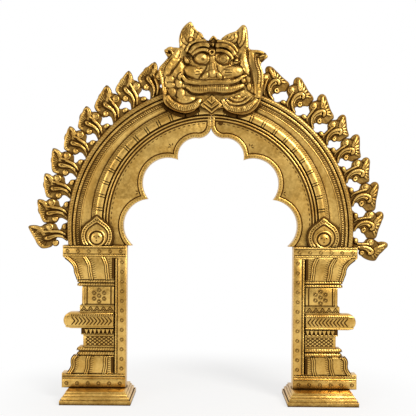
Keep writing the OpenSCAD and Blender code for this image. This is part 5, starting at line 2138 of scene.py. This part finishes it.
    def up(self, knots: Sequence[Sequence[float]]) -> Run:
        """Moves knots drawn about the mask's middle to their place and size."""
        k = SIZES.mask_scale
        return [(k * knot[0], k * knot[1] + SIZES.mask_middle, *knot[2:]) for knot in knots]

    def level(self, height: float, wire: float, spots: Sequence[Spot]) -> Run:
        """Lays a smooth wire of one radius and height through spots and returns its knots."""
        return self.up([(x, y, height, wire) for x, y in flowing(spots)])

    def lump(self, x: float, y: float, height: float, sizes: Sequence[float], turn: float = 0.0) -> Piece:
        """Sets a lump about the mask's middle and returns it."""
        return Bench.blob(self.up([(x, y, height)])[0], sizes, turn)

    def scored(self, piece: Piece, lines: Lines) -> Piece:
        """Chases dark lines, each of a half width through some spots, into a piece and returns them."""
        runs = [[(x, y, self.stroke * half) for x, y in self.up(flowing(spots))] for half, spots in lines]
        return Bench.chase_and_shade(piece, runs)

    def hatched(self, piece: Piece, spots: Knots, pitch: float, reach: float) -> Piece:
        """Chases short dark strokes across a line on a piece.

        Args:
            piece: The piece as it lies on the bench.
            spots: The spots that the line passes.
            pitch: The step from stroke to stroke.
            reach: How far a stroke goes to either side.

        Returns:
            The strokes.
        """
        half = 0.3
        runs = []
        for x, y, heading in walked(self.up(flowing(spots)), pitch):
            aside = math.radians(heading + 90.0)
            across = [step * reach for step in (-1.0, -0.4, 0.4, 1.0)]
            runs.append([(x + off * math.cos(aside), y + off * math.sin(aside), half) for off in across])
        return Bench.chase_and_shade(piece, runs)

    def curl(self) -> Run:
        """Winds the curl at the head of the left strap from its outer end inwards.

        Returns:
            The knots of the curl.
        """
        count = 20
        x, y = self.curl_middle
        knots = []
        for index in range(count + 1):
            share = index / count
            turn = math.radians(self.curl_start + self.curl_sweep * share)
            radius = 3.4 - 2.4 * share
            wire = 1.4 - 0.5 * share
            spot = (x + radius * math.cos(turn), y + radius * math.sin(turn))
            knots.append((*spot, self.curl_height, wire))
        return self.up(knots)

    def wax(self) -> list[Piece]:
        """Models the plate, the lumps, straps, lips, brows and edges of the face, and the pegs behind it.

        Returns:
            The parts.
        """
        parts = [Bench.plate(self.up(looped(self.outline, 3)), self.back, self.plate, 0.8)]
        parts += [self.lump(*lump) for lump in self.swells + self.eyeballs + self.muzzle + self.knobs]
        for bands, squash in ((self.straps, 0.55), (self.lips, 0.75)):
            parts.append(Bench.rods([self.up(flowing(band)) for band in bands], sides=4, squash=squash))
        parts.append(Bench.rods([self.level(*wire) for wire in self.edges] + [self.curl()]))
        parts.append(Bench.rods([self.level(*wire) for wire in self.brows]))
        parts.append(Bench.hoop(self.up([self.jewel])[0], *self.jewel_ring))
        for x in (-self.peg_x, self.peg_x):
            Bench.clear()
            place = (x, SIZES.mask_middle - self.peg_drop, self.back)
            bpy.ops.mesh.primitive_cylinder_add(radius=4.0, depth=3.0, location=place)
            parts.append(Bench.settle(bpy.context.object))
        return parts

    def face(self) -> Piece:
        """Casts the face, darkens its hollows, darkens patches for a browner tone and for painted shade, and
        chases its lines, some of which are painted shade.

        Returns:
            The face.
        """
        cast = Bench.roughen(Bench.fuse(self.wax(), self.grain, 1), self.dent)
        Bench.tarnish(cast, *self.dark)
        Bench.stain_and_shade(cast, self.up(self.tones_and_shades))
        # The chased lines are mostly the mask's chasing; the line under the teeth and the thick line inside
        # the right strap are painted shade
        lines = self.ear_lines + self.brow_lines + self.eye_lines
        lines += tuple((half, around(*arc)) for half, *arc in self.rings)
        lines += self.cheek_lines + self.mouth_lines + self.strap_lines
        parts = [cast, self.scored(cast, lines)]
        parts += [self.hatched(cast, *hatching) for hatching in self.hatchings]
        return Bench.stand(Bench.join(parts), "kirtimukha_cast", Side.RIGHT, 60.0)

    def scroll(self, drawn: Scroll) -> Piece:
        """Builds a scroll.

        Args:
            drawn: Its drawing.

        Returns:
            The scroll.
        """
        parts = [Bench.rods([self.up(flowing(drawn.band))], sides=4, squash=0.7)]
        if drawn.arcs:
            parts.append(Bench.rods([self.level(*arc) for arc in drawn.arcs]))
        parts += [self.lump(*lump) for lump in drawn.lumps]
        piece = Bench.roughen(Bench.fuse(parts, self.scroll_grain, 1), self.dent)
        Bench.tarnish(piece, *drawn.dark)
        Bench.stain_and_shade(piece, self.up(drawn.darker_patches))
        parts = [piece, self.scored(piece, drawn.lines), self.hatched(piece, drawn.hatching, 1.4, 1.5)]
        return Bench.stand(Bench.join(parts), drawn.name, Side.RIGHT, 60.0)

    def lozenge(self) -> Piece:
        """Builds the lozenge under the teeth with its chevrons.

        Returns:
            The lozenge.
        """
        outline = self.up([(0.4, -20.0), (-8.4, -27.4), (0.2, -35.6), (8.4, -27.4)])
        face = self.lozenge_face
        parts = [Bench.plate(outline, self.plate - 0.6, face, 0.4)]
        ridges = []
        lines = [self.up([(0.3, -21.4, face, 0.4), (0.3, -24.4, face, 0.45)])]
        for half, high, low in ((3.2, -23.2, -26.2), (5.8, -25.6, -29.8), (5.6, -28.6, -33.2)):
            ridge = [(-half, high, face, 0.75), (0.2, low, face + 0.4, 0.8), (half, high, face, 0.75)]
            ridges.append(self.up(ridge))
            drop = high - 1.3
            line = [(-half, drop, face, 0.5), (0.2, low - 1.4, face, 0.55), (half, drop, face, 0.5)]
            lines.append(self.up(line))
        parts += [Bench.rods(ridges), Bench.inlay_and_shade(lines)]
        return Bench.stand(Bench.join(parts), "pendant_cast", Side.RIGHT)


@dataclass
class Studio:
    """Camera, lamps, floor and backdrop."""

    aim_x: float = -0.002
    aim_z: float = 0.1535
    distance: float = 0.611
    lens: float = 65.8
    roll: float = -0.45

    def camera(self) -> None:
        """Sets the camera level before the arch."""
        Bench.clear()
        turn = (math.radians(90.0), math.radians(self.roll), 0.0)
        bpy.ops.object.camera_add(location=(self.aim_x, -self.distance, self.aim_z), rotation=turn)
        view = bpy.context.object
        view.name = "view"
        view.data.lens = self.lens
        view.data.sensor_width = 36.0
        view.data.clip_start = 0.01
        bpy.context.scene.camera = view

    def lamp(self, name: str, place: Sequence[float], power: float, size: float,
             colour: Sequence[float]) -> None:
        """Hangs a soft square lamp that looks at the arch.

        Args:
            name: Its name.
            place: Where it hangs.
            power: Its power in watts.
            size: The length of its side.
            colour: Its colour.
        """
        bpy.ops.object.light_add(type="AREA", location=place)
        lamp = bpy.context.object
        lamp.name = name
        lamp.data.energy = power
        lamp.data.size = size
        lamp.data.color = colour
        aim = Matrix.Translation((0.0, 0.0, -self.aim_z)) @ lamp.matrix_world
        lamp.rotation_euler = (aim.translation * -1).to_track_quat("-Z", "Y").to_euler()

    def world(self) -> None:
        """Paints the room: white to look at, and darker on the viewer's side for the metal to mirror."""
        world = bpy.data.worlds.new("room")
        world.use_nodes = True
        bpy.context.scene.world = world
        graph = Graph(world.node_tree)
        way = graph.wire("ShaderNodeTexCoord", {}, {}, "Generated")
        split = graph.add("ShaderNodeSeparateXYZ", {}, {0: way})
        across = Wire(graph, split.outputs[0])
        depth = Wire(graph, split.outputs[1])
        up = Wire(graph, split.outputs[2])
        behind = depth.between(-0.25, 0.30)
        level = 0.20 + up.between(-0.1, 0.9) * 0.55 + across.between(0.0, 0.9) * 0.30
        front = graph.blend(level, (0.0, 0.0, 0.0, 1.0), (1.0, 0.98, 0.95, 1.0))
        path = graph.add("ShaderNodeLightPath", {}, {})
        looked = Wire(graph, path.outputs["Is Camera Ray"])
        tint = graph.blend(looked, graph.blend(behind, front, WHITE), WHITE)
        seen = looked + Wire(graph, path.outputs["Is Glossy Ray"])
        seen = (seen + Wire(graph, path.outputs["Is Transmission Ray"])).between(0.0, 1.0)
        lit = graph.wire("ShaderNodeBackground", {}, {"Color": WHITE, "Strength": 0.45})
        shown = graph.wire("ShaderNodeBackground", {}, {"Color": tint, "Strength": 1.0})
        both = graph.wire("ShaderNodeMixShader", {}, {0: seen, 1: lit, 2: shown})
        graph.add("ShaderNodeOutputWorld", {}, {"Surface": both})

    def floor(self) -> None:
        """Lays a plain pale floor that keeps the arch's shadow."""
        Bench.clear()
        bpy.ops.mesh.primitive_plane_add(size=8.0, location=(0.0, 0.0, -0.0002))
        plane = bpy.context.object
        plane.name = "floor"
        material, graph = Graph.started("pale_floor")
        diffuse = graph.wire("ShaderNodeBsdfDiffuse", {}, {"Color": (0.85, 0.85, 0.85, 1.0)})
        glow = graph.wire("ShaderNodeEmission", {}, {"Color": WHITE, "Strength": 1.0})
        place = graph.wire("ShaderNodeTexCoord", {}, {}, "Object")
        far = graph.wire("ShaderNodeVectorMath", {"operation": "LENGTH"}, {0: place}, "Value")
        path = graph.add("ShaderNodeLightPath", {}, {})
        seen = Wire(graph, path.outputs["Is Camera Ray"]) + Wire(graph, path.outputs["Is Glossy Ray"])
        share = seen.between(0.0, 1.0) * (0.72 + far.between(0.10, 0.22) * 0.28)
        both = graph.wire("ShaderNodeMixShader", {}, {0: share, 1: diffuse, 2: glow})
        graph.add("ShaderNodeOutputMaterial", {}, {"Surface": both})
        plane.data.materials.append(material)

    def build(self) -> None:
        """Sets the whole studio up."""
        bpy.context.scene.view_settings.view_transform = "Standard"
        self.camera()
        self.lamp("key", (0.60, -0.80, 0.70), 11.0, 0.4, (1.0, 0.97, 0.92))
        self.lamp("fill", (-0.75, -0.7, 0.35), 2.4, 0.5, (1.0, 0.95, 0.88))
        self.world()
        self.floor()


@dataclass
class Arch:
    """The whole arch with its finishes."""

    finishes: Finishes
    left_tips: tuple[float, ...] = (0.0, 8.7, 17.6, 26.3, 35.2, 43.8, 53.3, 61.9, 70.8)
    right_tips: tuple[float, ...] = (-4.7, 5.1, 15.2, 24.1, 32.6, 40.6, 50.1, 59.9, 70.2)
    left_rise: tuple[float, ...] = (1.16, 0.965, 0.945, 1.01, 0.935, 0.95, 1.025, 1.045, 0.985)
    right_rise: tuple[float, ...] = (1.05, 0.92, 0.925, 0.915, 0.97, 0.985, 0.985, 0.975, 0.905)
    flame_height: float = 27.6
    left_span: float = 8.9
    right_span: float = 7.4

    def pillars(self) -> None:
        """Builds and dresses plinths, frames and columns."""
        for side in Side:
            for part, node in ((Plinth(), "plinth"), (PillarFrame(), "frame"), (HalfColumn(), "column")):
                dress(part.build(side), self.finishes.cast, f"{side.word}_{node}")

    def span(self) -> None:
        """Builds and dresses the arch halves and their medallions."""
        for side in Side:
            dress(ArchHalf().build(side), self.finishes.cast, f"{side.word}_arch")
            dress(Medallion().build(side), self.finishes.cast, f"{side.word}_medallion")

    def flames(self) -> None:
        """Builds and dresses the flame leaves of both sides."""
        borders = ((Side.LEFT, self.left_tips, self.left_rise, self.left_span),
                   (Side.RIGHT, self.right_tips, self.right_rise, self.right_span))
        for side, tips, rises, first in borders:
            for index, (tip, rise) in enumerate(zip(tips, rises)):
                span = tip - tips[index - 1] if index else first
                node = f"{side.word}_flame_{index + 1}"
                leaf = Flame(tip, span, rise * self.flame_height, side, index == 0)
                dress(leaf.build(f"{node}_cast"), self.finishes.cast, node)

    def mask(self) -> None:
        """Builds and dresses the mask, its scrolls and its lozenge."""
        lion = LionMask()
        cast = self.finishes.cast
        dress(lion.face(), cast, "kirtimukha")
        dress(lion.scroll(LEFT_SCROLL), cast, "left_makara")
        dress(lion.scroll(RIGHT_SCROLL), cast, "right_makara")
        dress(lion.lozenge(), cast, "pendant")

    def carried(self, nodes: dict[str, Piece]) -> None:
        """Gives the nodes that stay their materials.

        Args:
            nodes: The frame's nodes by name.
        """
        steel = ("plinth_screws", "column_screws", "strap_screws", "splice_screws", "mask_studs",
                 "mask_nuts")
        for name in ("left_strap", "right_strap", "crown_splice"):
            nodes[name].data.materials[0] = self.finishes.sheet
            LOG.info("%s: sheet brass", name)
        for name in steel:
            nodes[name].data.materials[0] = self.finishes.steel
            LOG.info("%s: steel", name)


def main() -> None:
    """Builds the arch piece by piece."""
    logging.basicConfig(level=logging.INFO, format="%(name)s: %(message)s")
    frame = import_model()
    Studio().build()
    arch = Arch(Finishes.made())
    arch.pillars()
    arch.span()
    arch.flames()
    arch.mask()
    arch.carried(frame["nodes"])


if __name__ == "__main__":
    main()
